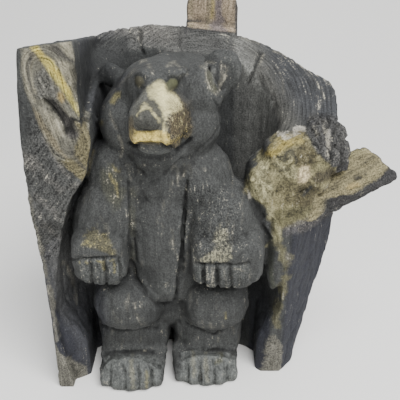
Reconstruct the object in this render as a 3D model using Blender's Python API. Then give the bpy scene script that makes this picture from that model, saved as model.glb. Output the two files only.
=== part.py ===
"""A bear carved with a chainsaw inside the hollow of a standing log.

Metres, +Z up. The viewer stands at -Y, the log's closed back is at +Y and +X is the viewer's right.
The carving is one piece of wood, so everything here ends up in one solid. The log wall, its side branch
and the stub above the rim are cut out of plain tapered shapes. The bear is built from overlapping masses
that are fused and smoothed. Then the two are joined, and the gouge cuts go in last.
"""

import math

import bmesh
import bpy
from mathutils import Matrix, Vector

# ---- Driving dimensions ---------------------------------------------------------------------------

NAME = "bear_in_hollow_log"
WOOD_COLOUR = (0.060, 0.058, 0.055, 1.0)

# The trunk: its left and right sides by height, and its depth.
TRUNK_SIDES = (  # height, left side, right side
    (-0.02, -0.197, 0.100),
    (0.09, -0.197, 0.127),
    (0.16, -0.199, 0.148),
    (0.24, -0.205, 0.152),
    (0.31, -0.205, 0.140),
    (0.37, -0.202, 0.136),
    (0.44, -0.193, 0.136),
)
TRUNK_MIDDLE_Y = -0.05
TRUNK_DEPTH = (0.140, 0.141)  # half depth at the foot and at the rim
TRUNK_SEGMENTS = 44
TRUNK_SQUARENESS = (2.0, 2.55)  # of the left half and of the right half

# The hollow: its left and right sides at the front, how far back it goes, and how square it is.
HOLLOW_FRONT_Y = -0.09
HOLLOW_SIDES = (  # height, left side, right side, back, squareness
    (-0.03, -0.166, 0.063, -0.003, 4.0),
    (0.03, -0.175, 0.074, -0.002, 3.6),
    (0.09, -0.186, 0.083, 0.000, 3.0),
    (0.16, -0.184, 0.084, 0.010, 2.7),
    (0.22, -0.166, 0.080, 0.022, 2.6),
    (0.26, -0.152, 0.075, 0.032, 2.9),
    (0.29, -0.130, 0.073, 0.038, 3.2),
    (0.33, -0.126, 0.073, 0.043, 3.6),
    (0.37, -0.132, 0.079, 0.046, 3.6),
    (0.46, -0.138, 0.094, 0.051, 3.6),
)
HOLLOW_SEGMENTS = 22

# The saw cuts, each a point on the cut and the direction of what falls away.
LEFT_EDGE_CUT = ((-0.17, -0.090, 0.20), (0.05, -1.0, 0.02))
RIGHT_EDGE_CUT = ((0.08, -0.084, 0.22), (0.0, -1.0, -0.08))
RIGHT_SIDE_CUT = ((0.092, -0.080, 0.16), (0.757, -0.652, -0.072))
RIM_CUT = ((0.0, 0.09, 0.4065), (0.12, -0.52, 1.0))
CREST_CUT = ((-0.137, -0.085, 0.422), (-0.14, 0.13, 1.0))
CREST_INNER_X = -0.136

# The side branch, split along its length, and the stub above the back rim.
BRANCH_ROOT = Vector((0.070, -0.052, 0.219))
BRANCH_END = Vector((0.192, -0.052, 0.2925))
BRANCH_RADIUS = 0.0245
BRANCH_FACE = ((0.15, -0.0565, 0.2715), (0.0, -0.68, 0.73))
BRANCH_END_CUT = ((0.190, -0.06, 0.2915), (0.69, 0.29, 0.66))
STUB_MIDDLE = (0.0008, 0.101)
STUB_RADIUS = 0.033
STUB_BOTTOM, STUB_TOP = 0.20, 0.444
STUB_FACE_Y = 0.101

# The straight cut that slopes down from the brow and leaves the face's left edge.
LEFT_FACE_CUT = ((-0.101, -0.040, 0.376), (-0.74, 0.30, 0.60))

# The dished face below the left edge's flat saw cut.
DISH_MIDDLE = (-0.164, -0.100, 0.145)
DISH_RADII = (0.032, 0.034, 0.110)

# The bear stands on the middle of its own, a little left of the trunk's.
BEAR_X = -0.056
LEFT, RIGHT = -1, 1
TOE_SPACING = 0.0162
MUZZLE_HALF = (0.029, 0.036, 0.021)
EYE_RADIUS = 0.0057
LEFT_FOOT = (-0.0440, -0.055)  # right of BEAR_X, and depth
RIGHT_FOOT = (0.0495, -0.046)

VOXEL = 0.0030
SMOOTHING_PASSES = 6
BEAR_TRIANGLES = 4300


# ---- Small tools ----------------------------------------------------------------------------------


def clear_scene():
    for obj in list(bpy.data.objects):
        bpy.data.objects.remove(obj, do_unlink=True)


def new_object(name, bm):
    """A scene object from a bmesh, whose faces are turned outwards."""
    bmesh.ops.recalc_face_normals(bm, faces=bm.faces)
    mesh = bpy.data.meshes.new(name)
    bm.to_mesh(mesh)
    bm.free()
    obj = bpy.data.objects.new(name, mesh)
    bpy.context.scene.collection.objects.link(obj)
    return obj


def between(stations, height):
    """The values of a table of stations at a height, by straight interpolation."""
    for low, high in zip(stations, stations[1:]):
        if height <= high[0]:
            share = max(0.0, (height - low[0]) / (high[0] - low[0]))
            return [a + (b - a) * share for a, b in zip(low[1:], high[1:])]
    return list(stations[-1][1:])


def rounded(value, squareness):
    """A cosine or sine bent so that its circle becomes a rounder or squarer oval. 2 leaves it a circle."""
    return math.copysign(abs(value) ** (2.0 / squareness), value)


def loft(name, rings):
    """A closed solid through rings of points that all have the same count."""
    bm = bmesh.new()
    made = [[bm.verts.new(point) for point in ring] for ring in rings]
    for lower, upper in zip(made, made[1:]):
        for i in range(len(lower)):
            j = (i + 1) % len(lower)
            bm.faces.new((lower[i], lower[j], upper[j], upper[i]))
    bm.faces.new(reversed(made[0]))
    bm.faces.new(made[-1])
    return new_object(name, bm)


def egg(name, centre, radii, turn=(0.0, 0.0, 0.0), segments=24):
    """An ellipsoid. turn is in degrees about X, Y and Z."""
    bm = bmesh.new()
    bmesh.ops.create_uvsphere(bm, u_segments=segments, v_segments=segments * 2 // 3, radius=1.0)
    place(bm, centre, radii, turn)
    return new_object(name, bm)


def block(name, centre, half, turn=(0.0, 0.0, 0.0), front=(1.0, 1.0), softness=0.35):
    """A box with rounded edges. front scales its front end's width and height."""
    bm = bmesh.new()
    bmesh.ops.create_cube(bm, size=2.0)
    for vert in bm.verts:
        if vert.co.y < 0:
            vert.co.x *= front[0]
            vert.co.z *= front[1]
    bmesh.ops.bevel(bm, geom=bm.edges, offset=softness, segments=3, profile=0.5, affect="EDGES")
    place(bm, centre, half, turn)
    return new_object(name, bm)


def place(bm, centre, scale, turn):
    angles = [math.radians(t) for t in turn]
    matrix = Matrix.Translation(centre)
    matrix @= Matrix.Rotation(angles[2], 4, "Z") @ Matrix.Rotation(angles[1], 4, "Y")
    matrix @= Matrix.Rotation(angles[0], 4, "X") @ Matrix.Diagonal((*scale, 1.0))
    bmesh.ops.transform(bm, matrix=matrix, verts=bm.verts)


def saw(obj, point, direction):
    """Cuts obj with a plane and lets what lies in direction fall away."""
    bm = bmesh.new()
    bm.from_mesh(obj.data)
    geometry = bm.verts[:] + bm.edges[:] + bm.faces[:]
    cut = bmesh.ops.bisect_plane(
        bm, geom=geometry, dist=1e-6, plane_co=point, plane_no=direction, clear_outer=True
    )
    edges = [item for item in cut["geom_cut"] if isinstance(item, bmesh.types.BMEdge)]
    bmesh.ops.contextual_create(bm, geom=edges)
    bmesh.ops.recalc_face_normals(bm, faces=bm.faces)
    bm.to_mesh(obj.data)
    bm.free()


def slab(name, point, direction, low, high, thickness=0.2):
    """A slab whose underside is the cut plane, over the range low..high of X and Y."""
    bm = bmesh.new()
    normal = Vector(direction).normalized()
    corners = []
    for x, y in ((low[0], low[1]), (high[0], low[1]), (high[0], high[1]), (low[0], high[1])):
        z = point[2] - (normal.x * (x - point[0]) + normal.y * (y - point[1])) / normal.z
        corners.append(Vector((x, y, z)))
    bottom = [bm.verts.new(corner) for corner in corners]
    top = [bm.verts.new(corner + Vector((0, 0, thickness))) for corner in corners]
    bm.faces.new(reversed(bottom))
    bm.faces.new(top)
    for i in range(4):
        j = (i + 1) % 4
        bm.faces.new((bottom[i], bottom[j], top[j], top[i]))
    return new_object(name, bm)


def combine(obj, others, operation):
    """Applies a Boolean of obj with each of the others, and removes them."""
    for other in others:
        triangulated(obj)
        triangulated(other)
        modifier = obj.modifiers.new(operation.title(), "BOOLEAN")
        modifier.operation = operation
        modifier.object = other
        modifier.solver = "EXACT"
        bake(obj)
        bpy.data.objects.remove(other, do_unlink=True)
    return obj


def triangulated(obj):
    """Splits the faces into triangles, since a bent face with many corners spoils a Boolean."""
    bm = bmesh.new()
    bm.from_mesh(obj.data)
    bmesh.ops.dissolve_degenerate(bm, dist=1e-6, edges=bm.edges)
    bmesh.ops.triangulate(bm, faces=bm.faces)
    bm.to_mesh(obj.data)
    bm.free()


def flattened(obj):
    """Merges the slivers that the Booleans leave on flat faces, then splits into triangles again."""
    bm = bmesh.new()
    bm.from_mesh(obj.data)
    bmesh.ops.dissolve_limit(bm, angle_limit=math.radians(0.5), verts=bm.verts, edges=bm.edges)
    bmesh.ops.triangulate(bm, faces=bm.faces)
    bm.to_mesh(obj.data)
    bm.free()


def bake(obj):
    """Gives obj the mesh that its modifiers make, and clears them."""
    graph = bpy.context.evaluated_depsgraph_get()
    mesh = bpy.data.meshes.new_from_object(obj.evaluated_get(graph))
    obj.modifiers.clear()
    obj.data = mesh
    return obj


def joined(name, objects):
    """One object that holds all the meshes, still overlapping."""
    bm = bmesh.new()
    for obj in objects:
        bm.from_mesh(obj.data)
        bpy.data.objects.remove(obj, do_unlink=True)
    mesh = bpy.data.meshes.new(name)
    bm.to_mesh(mesh)
    bm.free()
    obj = bpy.data.objects.new(name, mesh)
    bpy.context.scene.collection.objects.link(obj)
    return obj


def fused(obj, voxel, passes, triangles):
    """Melts overlapping closed shapes into one skin, softens it and thins it."""
    remesh = obj.modifiers.new("Fuse", "REMESH")
    remesh.mode = "VOXEL"
    remesh.voxel_size = voxel
    smooth = obj.modifiers.new("Soften", "SMOOTH")
    smooth.factor = 0.5
    smooth.iterations = passes
    bake(obj)
    thin = obj.modifiers.new("Thin", "DECIMATE")
    thin.ratio = triangles / (2 * len(obj.data.polygons))
    return bake(obj)


# ---- The log --------------------------------------------------------------------------------------


def trunk():
    """The solid trunk before it is hollowed: ten stations of an oval that widens upwards."""
    rings = []
    heights = [-0.02 + 0.46 * i / 12 for i in range(13)]
    for height in heights:
        left, right = between(TRUNK_SIDES, height)
        share = (height - heights[0]) / (heights[-1] - heights[0])
        depth = TRUNK_DEPTH[0] + (TRUNK_DEPTH[1] - TRUNK_DEPTH[0]) * share
        middle, half = (left + right) / 2, (right - left) / 2
        ring = []
        for i in range(TRUNK_SEGMENTS):
            angle = 2 * math.pi * i / TRUNK_SEGMENTS
            swell = 1.0 + 0.012 * math.sin(5 * angle + 1.0) * math.sin(math.pi * share)
            squareness = TRUNK_SQUARENESS[math.cos(angle) > 0]
            x = middle + half * rounded(math.cos(angle), squareness)
            y = TRUNK_MIDDLE_Y + depth * swell * rounded(math.sin(angle), squareness)
            ring.append((x, y, height))
        rings.append(ring)
    return loft("Trunk", rings)


def hollow():
    """The space between the log's two front edges, open to the front and the top."""
    rings = []
    heights = [-0.03 + 0.49 * i / 14 for i in range(15)]
    for height in heights:
        left, right, back, squareness = between(HOLLOW_SIDES, height)
        middle, half, depth = (left + right) / 2, (right - left) / 2, back - HOLLOW_FRONT_Y
        ring = [(left - 0.004, -0.30, height), (right + 0.004, -0.30, height)]
        for i in range(HOLLOW_SEGMENTS + 1):
            angle = math.pi * i / HOLLOW_SEGMENTS
            x = middle + half * rounded(math.cos(angle), squareness)
            y = HOLLOW_FRONT_Y + depth * rounded(math.sin(angle), squareness)
            ring.append((x, y, height))
        rings.append(ring)
    return loft("Hollow", rings)


def branch():
    """The cut-off side branch with its split, flat face."""
    along = (BRANCH_END - BRANCH_ROOT).normalized()
    root = BRANCH_ROOT - along * 0.01
    end = BRANCH_END + along * 0.03
    turn = along.to_track_quat("Z", "Y").to_matrix()
    rings = []
    for distance, radius in ((0.0, 1.15), (0.25, 1.04), (0.55, 1.0), (1.0, 1.0)):
        centre = root.lerp(end, distance)
        ring = []
        for i in range(24):
            angle = 2 * math.pi * i / 24
            swell = radius * (1.0 + 0.03 * math.sin(3 * angle))
            offset = Vector((math.cos(angle), math.sin(angle), 0)) * BRANCH_RADIUS * swell
            ring.append(centre + turn @ offset)
        rings.append(ring)
    piece = loft("Branch", rings)
    saw(piece, *BRANCH_FACE)
    saw(piece, *BRANCH_END_CUT)
    return piece


def stub():
    """The upright stub that grows out of the trunk's back. Its flat face is cut once it is joined."""
    rings = []
    for height, width, forward in (
        (STUB_BOTTOM, 0.55, 0.052),
        (STUB_BOTTOM + 0.06, 0.85, 0.028),
        (STUB_BOTTOM + 0.12, 0.97, 0.009),
        (STUB_BOTTOM + 0.17, 0.98, 0.0),
        (STUB_TOP - 0.012, 0.98, 0.0),
        (STUB_TOP - 0.004, 0.93, 0.0),
        (STUB_TOP, 0.76, 0.0),
    ):
        ring = []
        for i in range(24):
            angle = 2 * math.pi * i / 24
            x = STUB_MIDDLE[0] + STUB_RADIUS * width * math.cos(angle)
            y = STUB_MIDDLE[1] - forward + STUB_RADIUS * 0.8 * width * math.sin(angle)
            ring.append((x, y, height))
        rings.append(ring)
    return loft("Stub", rings)


def log_wall():
    piece = combine(trunk(), [hollow()], "DIFFERENCE")
    left_front = front_slab("Left front", LEFT_EDGE_CUT, -0.30, -0.06)
    right_front = front_slab("Right front", RIGHT_EDGE_CUT, -0.06, 0.30)
    combine(piece, [left_front, right_front], "DIFFERENCE")
    side = front_slab("Right side", RIGHT_SIDE_CUT, 0.0, 0.32)
    rim = slab("Rim", *RIM_CUT, (CREST_INNER_X, -0.30), (0.30, 0.30))
    crest = slab("Crest", *CREST_CUT, (-0.30, -0.30), (CREST_INNER_X + 0.002, 0.30))
    dish = egg("Dish", DISH_MIDDLE, DISH_RADII, (7, -12, 0), 18)
    combine(piece, [side, rim, crest, dish], "DIFFERENCE")
    combine(piece, [stub()], "UNION")
    above_rim = Vector(RIM_CUT[0]) + Vector((0.0, 0.0, 0.0003))
    stub_face = slab("Stub face", above_rim, RIM_CUT[1], (-0.05, -0.06), (0.05, STUB_FACE_Y), 0.1)
    return combine(piece, [stub_face], "DIFFERENCE")


def front_slab(name, cut, low_x, high_x):
    """A slab in front of an upright cut plane, between two X values."""
    point, normal = Vector(cut[0]), Vector(cut[1]).normalized()
    bm = bmesh.new()
    near, far = [], []
    for x, z in ((low_x, -0.1), (high_x, -0.1), (high_x, 0.6), (low_x, 0.6)):
        y = point.y - (normal.x * (x - point.x) + normal.z * (z - point.z)) / normal.y
        near.append(bm.verts.new((x, y, z)))
        far.append(bm.verts.new((x, min(y, 0) - 0.5, z)))
    bm.faces.new(near)
    bm.faces.new(reversed(far))
    for i in range(4):
        j = (i + 1) % 4
        bm.faces.new((near[i], near[j], far[j], far[i]))
    return new_object(name, bm)


# ---- The bear -------------------------------------------------------------------------------------


def head():
    x = BEAR_X
    masses = [
        egg("Skull", (x, -0.032, 0.350), (0.058, 0.050, 0.046)),
        block("Crown", (x + 0.006, -0.006, 0.362), (0.050, 0.060, 0.026), (4, 0, 0), (0.80, 0.8), 0.5),
        egg("Left brow", (x - 0.014, -0.078, 0.389), (0.013, 0.013, 0.006), (0, 12, 0)),
        egg("Right brow", (x + 0.018, -0.078, 0.389), (0.013, 0.013, 0.006), (0, -12, 0)),
        egg("Left cheek", (x - 0.036, -0.046, 0.330), (0.032, 0.034, 0.038)),
    ]
    for mass in masses:
        saw(mass, *LEFT_FACE_CUT)
    return masses + [
        egg("Forehead", (x - 0.003, -0.060, 0.372), (0.032, 0.032, 0.023)),
        egg("Right temple", (x + 0.040, -0.046, 0.362), (0.028, 0.028, 0.032)),
        egg("Right cheek", (x + 0.034, -0.044, 0.328), (0.031, 0.034, 0.038)),
        block("Bridge", (x - 0.001, -0.088, 0.367), (0.016, 0.036, 0.014), (16, 0, -8), (0.86, 0.9), 0.45),
        block("Muzzle", (x - 0.001, -0.096, 0.347), MUZZLE_HALF, (0, 0, -8), (0.78, 0.92), 0.4),
        block("Nose", (x - 0.008, -0.1295, 0.358), (0.012, 0.010, 0.010), (0, 0, -8), (0.9, 0.8), 0.5),
        egg("Jaw", (x - 0.002, -0.090, 0.324), (0.025, 0.030, 0.012)),
        egg("Left ear", (-0.1135, -0.014, 0.377), (0.017, 0.014, 0.018), (0, -12, 15)),
        egg("Right ear", (0.0100, -0.028, 0.381), (0.023, 0.013, 0.024), (0, 10, -16)),
        egg("Right ear lobe", (0.0045, -0.030, 0.362), (0.015, 0.013, 0.020), (0, 10, -16)),
    ]


def body():
    x = BEAR_X
    return [
        egg("Trunk of the body", (x, -0.012, 0.190), (0.088, 0.062, 0.130)),
        egg("Chest", (x, -0.040, 0.262), (0.050, 0.036, 0.046)),
        egg("Belly", (x - 0.001, -0.046, 0.192), (0.050, 0.040, 0.080)),
        egg("Belly tip", (x + 0.004, -0.050, 0.146), (0.040, 0.032, 0.044)),
        egg("Hips", (x, -0.010, 0.100), (0.088, 0.052, 0.060)),
        block("Crotch", (x + 0.008, -0.004, 0.082), (0.034, 0.034, 0.036), (0, 0, 0), (0.9, 0.9), 0.6),
        egg("Neck", (x, -0.040, 0.305), (0.050, 0.042, 0.040)),
    ]


def arm(side, shoulder, forearm, forearm_radii, wrist_radii, paw, paw_half):
    name = "Left" if side == LEFT else "Right"
    hand = block(name + " paw", paw, paw_half, (12, 0, 0), (0.95, 0.92), 0.4)
    corner = (paw[0] + side * paw_half[0] * 0.72, paw[1], paw[2] - paw_half[2] * 0.72)
    saw(hand, corner, (side * 0.62, 0.0, -0.78))
    wrist = (paw[0] - side * 0.004, paw[1] + 0.010, paw[2] + 0.036)
    return [
        egg(name + " shoulder", shoulder, (0.036, 0.038, 0.044)),
        egg(name + " wrist", wrist, wrist_radii, (-14, 0, 0)),
        egg(name + " arm", forearm, forearm_radii, (0, side * -14, 0)),
        hand,
    ]


def leg(side, knee, knee_half, ankle, ankle_half_width, foot):
    name = "Left" if side == LEFT else "Right"
    foot_x, foot_y = foot
    made = [
        block(name + " knee", knee, knee_half, (-14, 0, 0), (0.86, 0.84), 0.72),
        block(name + " ankle", ankle, (ankle_half_width, 0.040, 0.045), (0, 0, 0), (0.9, 1.0), 0.6),
        block(name + " foot", (foot_x, foot_y, 0.019), (0.039, 0.040, 0.022), (6, 0, 0), (0.96, 0.9), 0.4),
    ]
    for i in range(5):
        across = i - 2
        toe = (foot_x + across * TOE_SPACING, foot_y - 0.026 + 0.0022 * across * across, 0.011)
        made.append(block(f"{name} toe {i}", toe, (0.0079, 0.024, 0.020), (34, 0, 0), (0.95, 0.9), 0.3))
    return made


def burl():
    """The rough lump of wood where the branch leaves the trunk."""
    return [
        block("Burl", (0.078, -0.056, 0.262), (0.038, 0.033, 0.042), (0, -24, 0), (0.9, 0.9), 0.6),
        block("Burl shoulder", (0.092, -0.060, 0.287), (0.038, 0.031, 0.036), (0, -10, 0), (0.88, 0.88), 0.6),
        egg("Burl foot", (0.079, -0.063, 0.204), (0.016, 0.024, 0.080), (0, 4, 0)),
        egg("Branch foot", (0.100, -0.062, 0.229), (0.036, 0.022, 0.019), (0, -24, 0)),
        block("Bark lump", (0.116, -0.054, 0.303), (0.025, 0.027, 0.024), (0, 12, 0), (0.9, 0.9), 0.6),
        block("Bark tip", (0.133, -0.052, 0.302), (0.015, 0.020, 0.023), (0, -14, 0), (0.85, 0.9), 0.5),
    ]


def bear():
    x = BEAR_X
    masses = head() + body() + burl()
    masses += arm(
        LEFT,
        shoulder=(x - 0.050, -0.046, 0.270),
        forearm=(x - 0.064, -0.054, 0.218),
        forearm_radii=(0.040, 0.040, 0.066),
        wrist_radii=(0.030, 0.024, 0.044),
        paw=(x - 0.0715, -0.080, 0.184),
        paw_half=(0.031, 0.024, 0.036),
    )
    masses += arm(
        RIGHT,
        shoulder=(x + 0.045, -0.044, 0.262),
        forearm=(x + 0.072, -0.054, 0.207),
        forearm_radii=(0.048, 0.042, 0.064),
        wrist_radii=(0.037, 0.030, 0.050),
        paw=(x + 0.073, -0.082, 0.182),
        paw_half=(0.042, 0.025, 0.037),
    )
    masses += leg(
        LEFT,
        knee=(x - 0.045, -0.050, 0.106),
        knee_half=(0.048, 0.044, 0.042),
        ankle=(x - 0.045, -0.030, 0.055),
        ankle_half_width=0.046,
        foot=(x + LEFT_FOOT[0], LEFT_FOOT[1]),
    )
    masses += leg(
        RIGHT,
        knee=(x + 0.061, -0.044, 0.101),
        knee_half=(0.045, 0.045, 0.042),
        ankle=(x + 0.0546, -0.026, 0.053),
        ankle_half_width=0.044,
        foot=(x + RIGHT_FOOT[0], RIGHT_FOOT[1]),
    )
    return fused(joined("Bear", masses), VOXEL, SMOOTHING_PASSES, BEAR_TRIANGLES)


# ---- The gouge cuts -------------------------------------------------------------------------------


def on_front(body, x, z):
    """The place where the front surface is met on the way back from (x, z)."""
    met, place, _, _ = body.ray_cast(Vector((x, -0.4, max(z, 0.003))), Vector((0, 1, 0)))
    if not met:
        raise ValueError(f"nothing stands behind x {x}, z {z}")
    return Vector((x, place.y, z))


def groove(body, path, width, depth):
    """A V-shaped cutter that follows the front surface through the places (x, z) of path."""
    rings = []
    forward = Vector((0, -1, 0))
    for i, (x, z) in enumerate(path):
        middle = on_front(body, x, z)
        after, before = path[min(i + 1, len(path) - 1)], path[max(i - 1, 0)]
        across = Vector((before[1] - after[1], 0, after[0] - before[0])).normalized()
        share = 0.45 if i in (0, len(path) - 1) else 1.0
        half = across * width * share / 2
        lip = middle + forward * 0.0015
        tip = middle + forward * 0.012
        bottom = middle - forward * depth * share
        rings.append([lip + half, tip, lip - half, bottom])
    return loft("Groove", rings)


def upright(x, low, high, lean=0.0):
    """The path of an upright groove in three steps, its foot moved sideways by lean."""
    return [(x + lean * (1 - t), low + (high - low) * t) for t in (0.0, 0.33, 0.66, 1.0)]


def carve(body, path, width=0.004, depth=0.004):
    combine(body, [groove(body, path, width, depth)], "DIFFERENCE")


def carve_paws(body):
    for x in (-0.1345, -0.1185, -0.1025):
        carve(body, upright(x, 0.146, 0.192, 0.003), 0.0045, 0.006)
    carve(body, [(-0.156, 0.194), (-0.142, 0.1945), (-0.124, 0.1940), (-0.104, 0.1955)], 0.005, 0.004)
    for x in (-0.0110, 0.0040, 0.0190):
        carve(body, upright(x, 0.142, 0.186), 0.0045, 0.006)
    carve(body, [(-0.018, 0.1865), (0.000, 0.187), (0.018, 0.188), (0.038, 0.189)], 0.005, 0.004)


def carve_feet(body):
    for foot_x in (BEAR_X + LEFT_FOOT[0], BEAR_X + RIGHT_FOOT[0]):
        for across in (-1.5, -0.5, 0.5, 1.5):
            carve(body, upright(foot_x + across * TOE_SPACING, -0.002, 0.032), 0.0050, 0.007)


def carve_face(body):
    x = BEAR_X
    for side, place in ((LEFT, (x - 0.0180, 0.3815)), (RIGHT, (x + 0.0150, 0.3800))):
        middle = on_front(body, *place)
        socket = egg("Socket", middle, (0.0075, 0.0045, 0.0075), (20, 0, side * 14), 12)
        combine(body, [socket], "DIFFERENCE")
        eye = egg("Eye", middle + Vector((0, 0.0035, 0)), [EYE_RADIUS] * 3, (0, 0, 0), 12)
        combine(body, [eye], "UNION")
    left_cup = egg("Left ear cup", (-0.1150, -0.027, 0.378), (0.009, 0.008, 0.010), (0, -12, 15), 15)
    right_cup = egg("Right ear cup", (0.0050, -0.043, 0.378), (0.0145, 0.013, 0.0175), (0, 12, -16), 15)
    combine(body, [left_cup, right_cup], "DIFFERENCE")
    mouth = [(x - 0.029, 0.316), (x - 0.017, 0.328), (x, 0.330), (x + 0.013, 0.327), (x + 0.024, 0.314)]
    carve(body, mouth, 0.005, 0.006)


def carve_body(body):
    right_crack = [(-0.027, 0.275), (-0.031, 0.235), (-0.034, 0.205), (-0.033, 0.165), (-0.038, 0.128)]
    carve(body, right_crack, 0.005, 0.009)
    carve(body, [(-0.088, 0.262), (-0.087, 0.230), (-0.0885, 0.195), (-0.0885, 0.150)], 0.005, 0.008)
    carve(body, [(-0.099, 0.297), (-0.090, 0.284)], 0.004, 0.004)
    carve(body, [(-0.050, 0.296), (-0.078, 0.280)], 0.004, 0.004)


# ---- The whole ------------------------------------------------------------------------------------


def ground_slab():
    bm = bmesh.new()
    bmesh.ops.create_cube(bm, size=1.0)
    bmesh.ops.transform(bm, matrix=Matrix.Translation((0, 0, -0.5)), verts=bm.verts)
    return new_object("Ground", bm)


def wood():
    material = bpy.data.materials.new("Charred wood")
    material.use_nodes = True
    shader = material.node_tree.nodes["Principled BSDF"]
    shader.inputs["Base Color"].default_value = WOOD_COLOUR
    shader.inputs["Roughness"].default_value = 0.7
    shader.inputs["Metallic"].default_value = 0.0
    return material


def stand_on_origin(obj):
    """Moves the mesh so that its box stands on the origin by the middle of its underside."""
    points = [vert.co for vert in obj.data.vertices]
    low = Vector([min(p[i] for p in points) for i in range(3)])
    high = Vector([max(p[i] for p in points) for i in range(3)])
    obj.data.transform(Matrix.Translation((-(low.x + high.x) / 2, -(low.y + high.y) / 2, -low.z)))


def main():
    clear_scene()
    carving = log_wall()
    carving.name = NAME
    carving.data.name = NAME
    combine(carving, [bear(), branch()], "UNION")
    carve_paws(carving)
    carve_feet(carving)
    carve_face(carving)
    carve_body(carving)
    combine(carving, [ground_slab()], "DIFFERENCE")
    flattened(carving)
    stand_on_origin(carving)
    carving.data.materials.clear()
    carving.data.materials.append(wood())


main()
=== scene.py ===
"""The looks of a chainsaw carved bear in a hollow log: one length of trunk, charred and weathered.

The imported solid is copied, remeshed finely and carved further with the small cuts, cracks, bark and
grain that the solid is too coarse to hold. Its finish is laid on point by point and broken up by
one material.

Places are in millimetres from the carving's own mark on the ground. x runs to the right, y to the
back and z up. A path or outline is text: its places in order, as "x,y,z x,y,z" through space or as
"x,z x,z" seen from the front.
"""

import math
from typing import NamedTuple

import bpy
import numpy as np
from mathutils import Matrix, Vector
from mathutils.bvhtree import BVHTree


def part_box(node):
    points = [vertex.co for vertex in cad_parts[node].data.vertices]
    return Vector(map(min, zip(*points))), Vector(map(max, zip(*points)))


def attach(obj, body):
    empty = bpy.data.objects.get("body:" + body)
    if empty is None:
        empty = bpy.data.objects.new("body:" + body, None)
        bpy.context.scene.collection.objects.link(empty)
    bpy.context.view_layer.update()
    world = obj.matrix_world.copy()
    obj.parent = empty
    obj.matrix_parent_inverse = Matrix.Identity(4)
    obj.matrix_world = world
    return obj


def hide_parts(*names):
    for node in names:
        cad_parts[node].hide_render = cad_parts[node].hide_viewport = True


bl_info = {
    "name": "Bear Carved in a Hollow Log",
    "version": (1, 0, 0),
    "blender": (4, 5, 0),
    "location": "3D View > Sidebar > Carving",
    "description": "Carves and finishes a charred bear standing in its hollow log",
    "category": "Object",
}

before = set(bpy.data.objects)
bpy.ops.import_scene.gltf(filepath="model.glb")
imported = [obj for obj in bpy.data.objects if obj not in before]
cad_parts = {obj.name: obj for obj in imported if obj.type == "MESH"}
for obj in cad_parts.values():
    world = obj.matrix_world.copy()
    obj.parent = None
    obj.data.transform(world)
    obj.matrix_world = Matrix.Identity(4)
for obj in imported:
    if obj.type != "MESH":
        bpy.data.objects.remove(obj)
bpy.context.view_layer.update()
NODE = "bear_in_hollow_log"
PIECE = "charred_bear_carving"

MM = 1000.0
# where the mark stands, from the lowest corner of the solid's box
MARK_IN_BOX = (205.0, 139.8)
LOW_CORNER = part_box(NODE)[0]
MARK = np.array((LOW_CORNER.x * MM + MARK_IN_BOX[0], LOW_CORNER.y * MM + MARK_IN_BOX[1], 0.0))

CAMERA_PLACE = (-14.0, -649.7, 517.0)
CAMERA_DIP = 25.0
CAMERA_LENS = 51.93
CAMERA_SENSOR = 36.0

# in metres: the light's place, aim and size, the paper's width, front edge, run and rise, and how
# close two points of the solid are when they are one
KEY_PLACE, KEY_AIM, KEY_SIZE = (0.7, -1.2, 2.2), (0.0, 0.0, 0.2), 1.7
PAPER_WIDTH, PAPER_FRONT, PAPER_RUN, PAPER_RISE = 8.0, -2.5, 7.0, 3.5
WELD = 0.00002
SKY = "f4f6f8"

SCRATCHES = 110
SCRATCH_SEED, RAY_SEED, LATTICE_SEED = 23, 5, 11
LATTICE = np.random.default_rng(LATTICE_SEED).random(4096)


def linear(code):
    """The linear colour of an sRGB hex value."""
    parts = [int(code[i : i + 2], 16) / 255 for i in (0, 2, 4)]
    return tuple(p / 12.92 if p <= 0.04045 else ((p + 0.055) / 1.055) ** 2.4 for p in parts)


# ---------------------------------------------------------------- measuring on the surface


def ramp(value, low, high):
    """0 below low, 1 above high and an even ramp between them."""
    t = np.clip((value - low) / (high - low), 0.0, 1.0)
    return t * t * (3.0 - 2.0 * t)


def lattice_key(cell, seed):
    """A number for each cell, well mixed, to look up in the lattice."""
    return (cell[:, 0] * 73856093) ^ (cell[:, 1] * 19349663) ^ (cell[:, 2] * 83492791) ^ (seed * 7919)


def noise(points, size, seed=0):
    """Smooth noise from -1 to 1 at each point. size is the width of a lump, or one width an axis."""
    q = points / np.broadcast_to(np.asarray(size, float), (3,)) + 37.7 * (seed + 1)
    cell = np.floor(q).astype(np.int64)
    t = q - cell
    t = t * t * t * (t * (t * 6.0 - 15.0) + 10.0)
    total = np.zeros(len(points))
    for step in np.ndindex(2, 2, 2):
        step = np.array(step[::-1])
        key = lattice_key(cell + step, seed)
        weight = np.prod(np.where(step, t, 1.0 - t), axis=1)
        total += LATTICE[(key ^ key >> 13) % len(LATTICE)] * weight
    return total * 2.0 - 1.0


def layered(points, size, seed=0, layers=3):
    """Noise with finer noise on it, each layer half as wide and half as strong, from about -1 to 1."""
    size = np.asarray(size, float)
    total = np.zeros(len(points))
    for layer in range(layers):
        total += noise(points, size / 2**layer, seed + layer) / 2**layer
    return total / (2.0 - 2.0 ** (1 - layers))


def plates(points, size, seed=0):
    """How far each point is from the nearest joint between irregular plates, 0 on a joint."""
    q = points / np.broadcast_to(np.asarray(size, float), (3,))
    cell = np.floor(q).astype(np.int64)
    first = second = np.full(len(points), 9.0)
    for shift in np.ndindex(3, 3, 3):
        at = cell + np.array(shift) - 1
        key = lattice_key(at, seed)
        jitter = [LATTICE[(key * step ^ key >> 11) % len(LATTICE)] for step in (1, 3, 7)]
        away = np.linalg.norm(at + np.column_stack(jitter) - q, axis=1)
        second = np.minimum(second, np.maximum(first, away))
        first = np.minimum(first, away)
    return second - first


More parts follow.
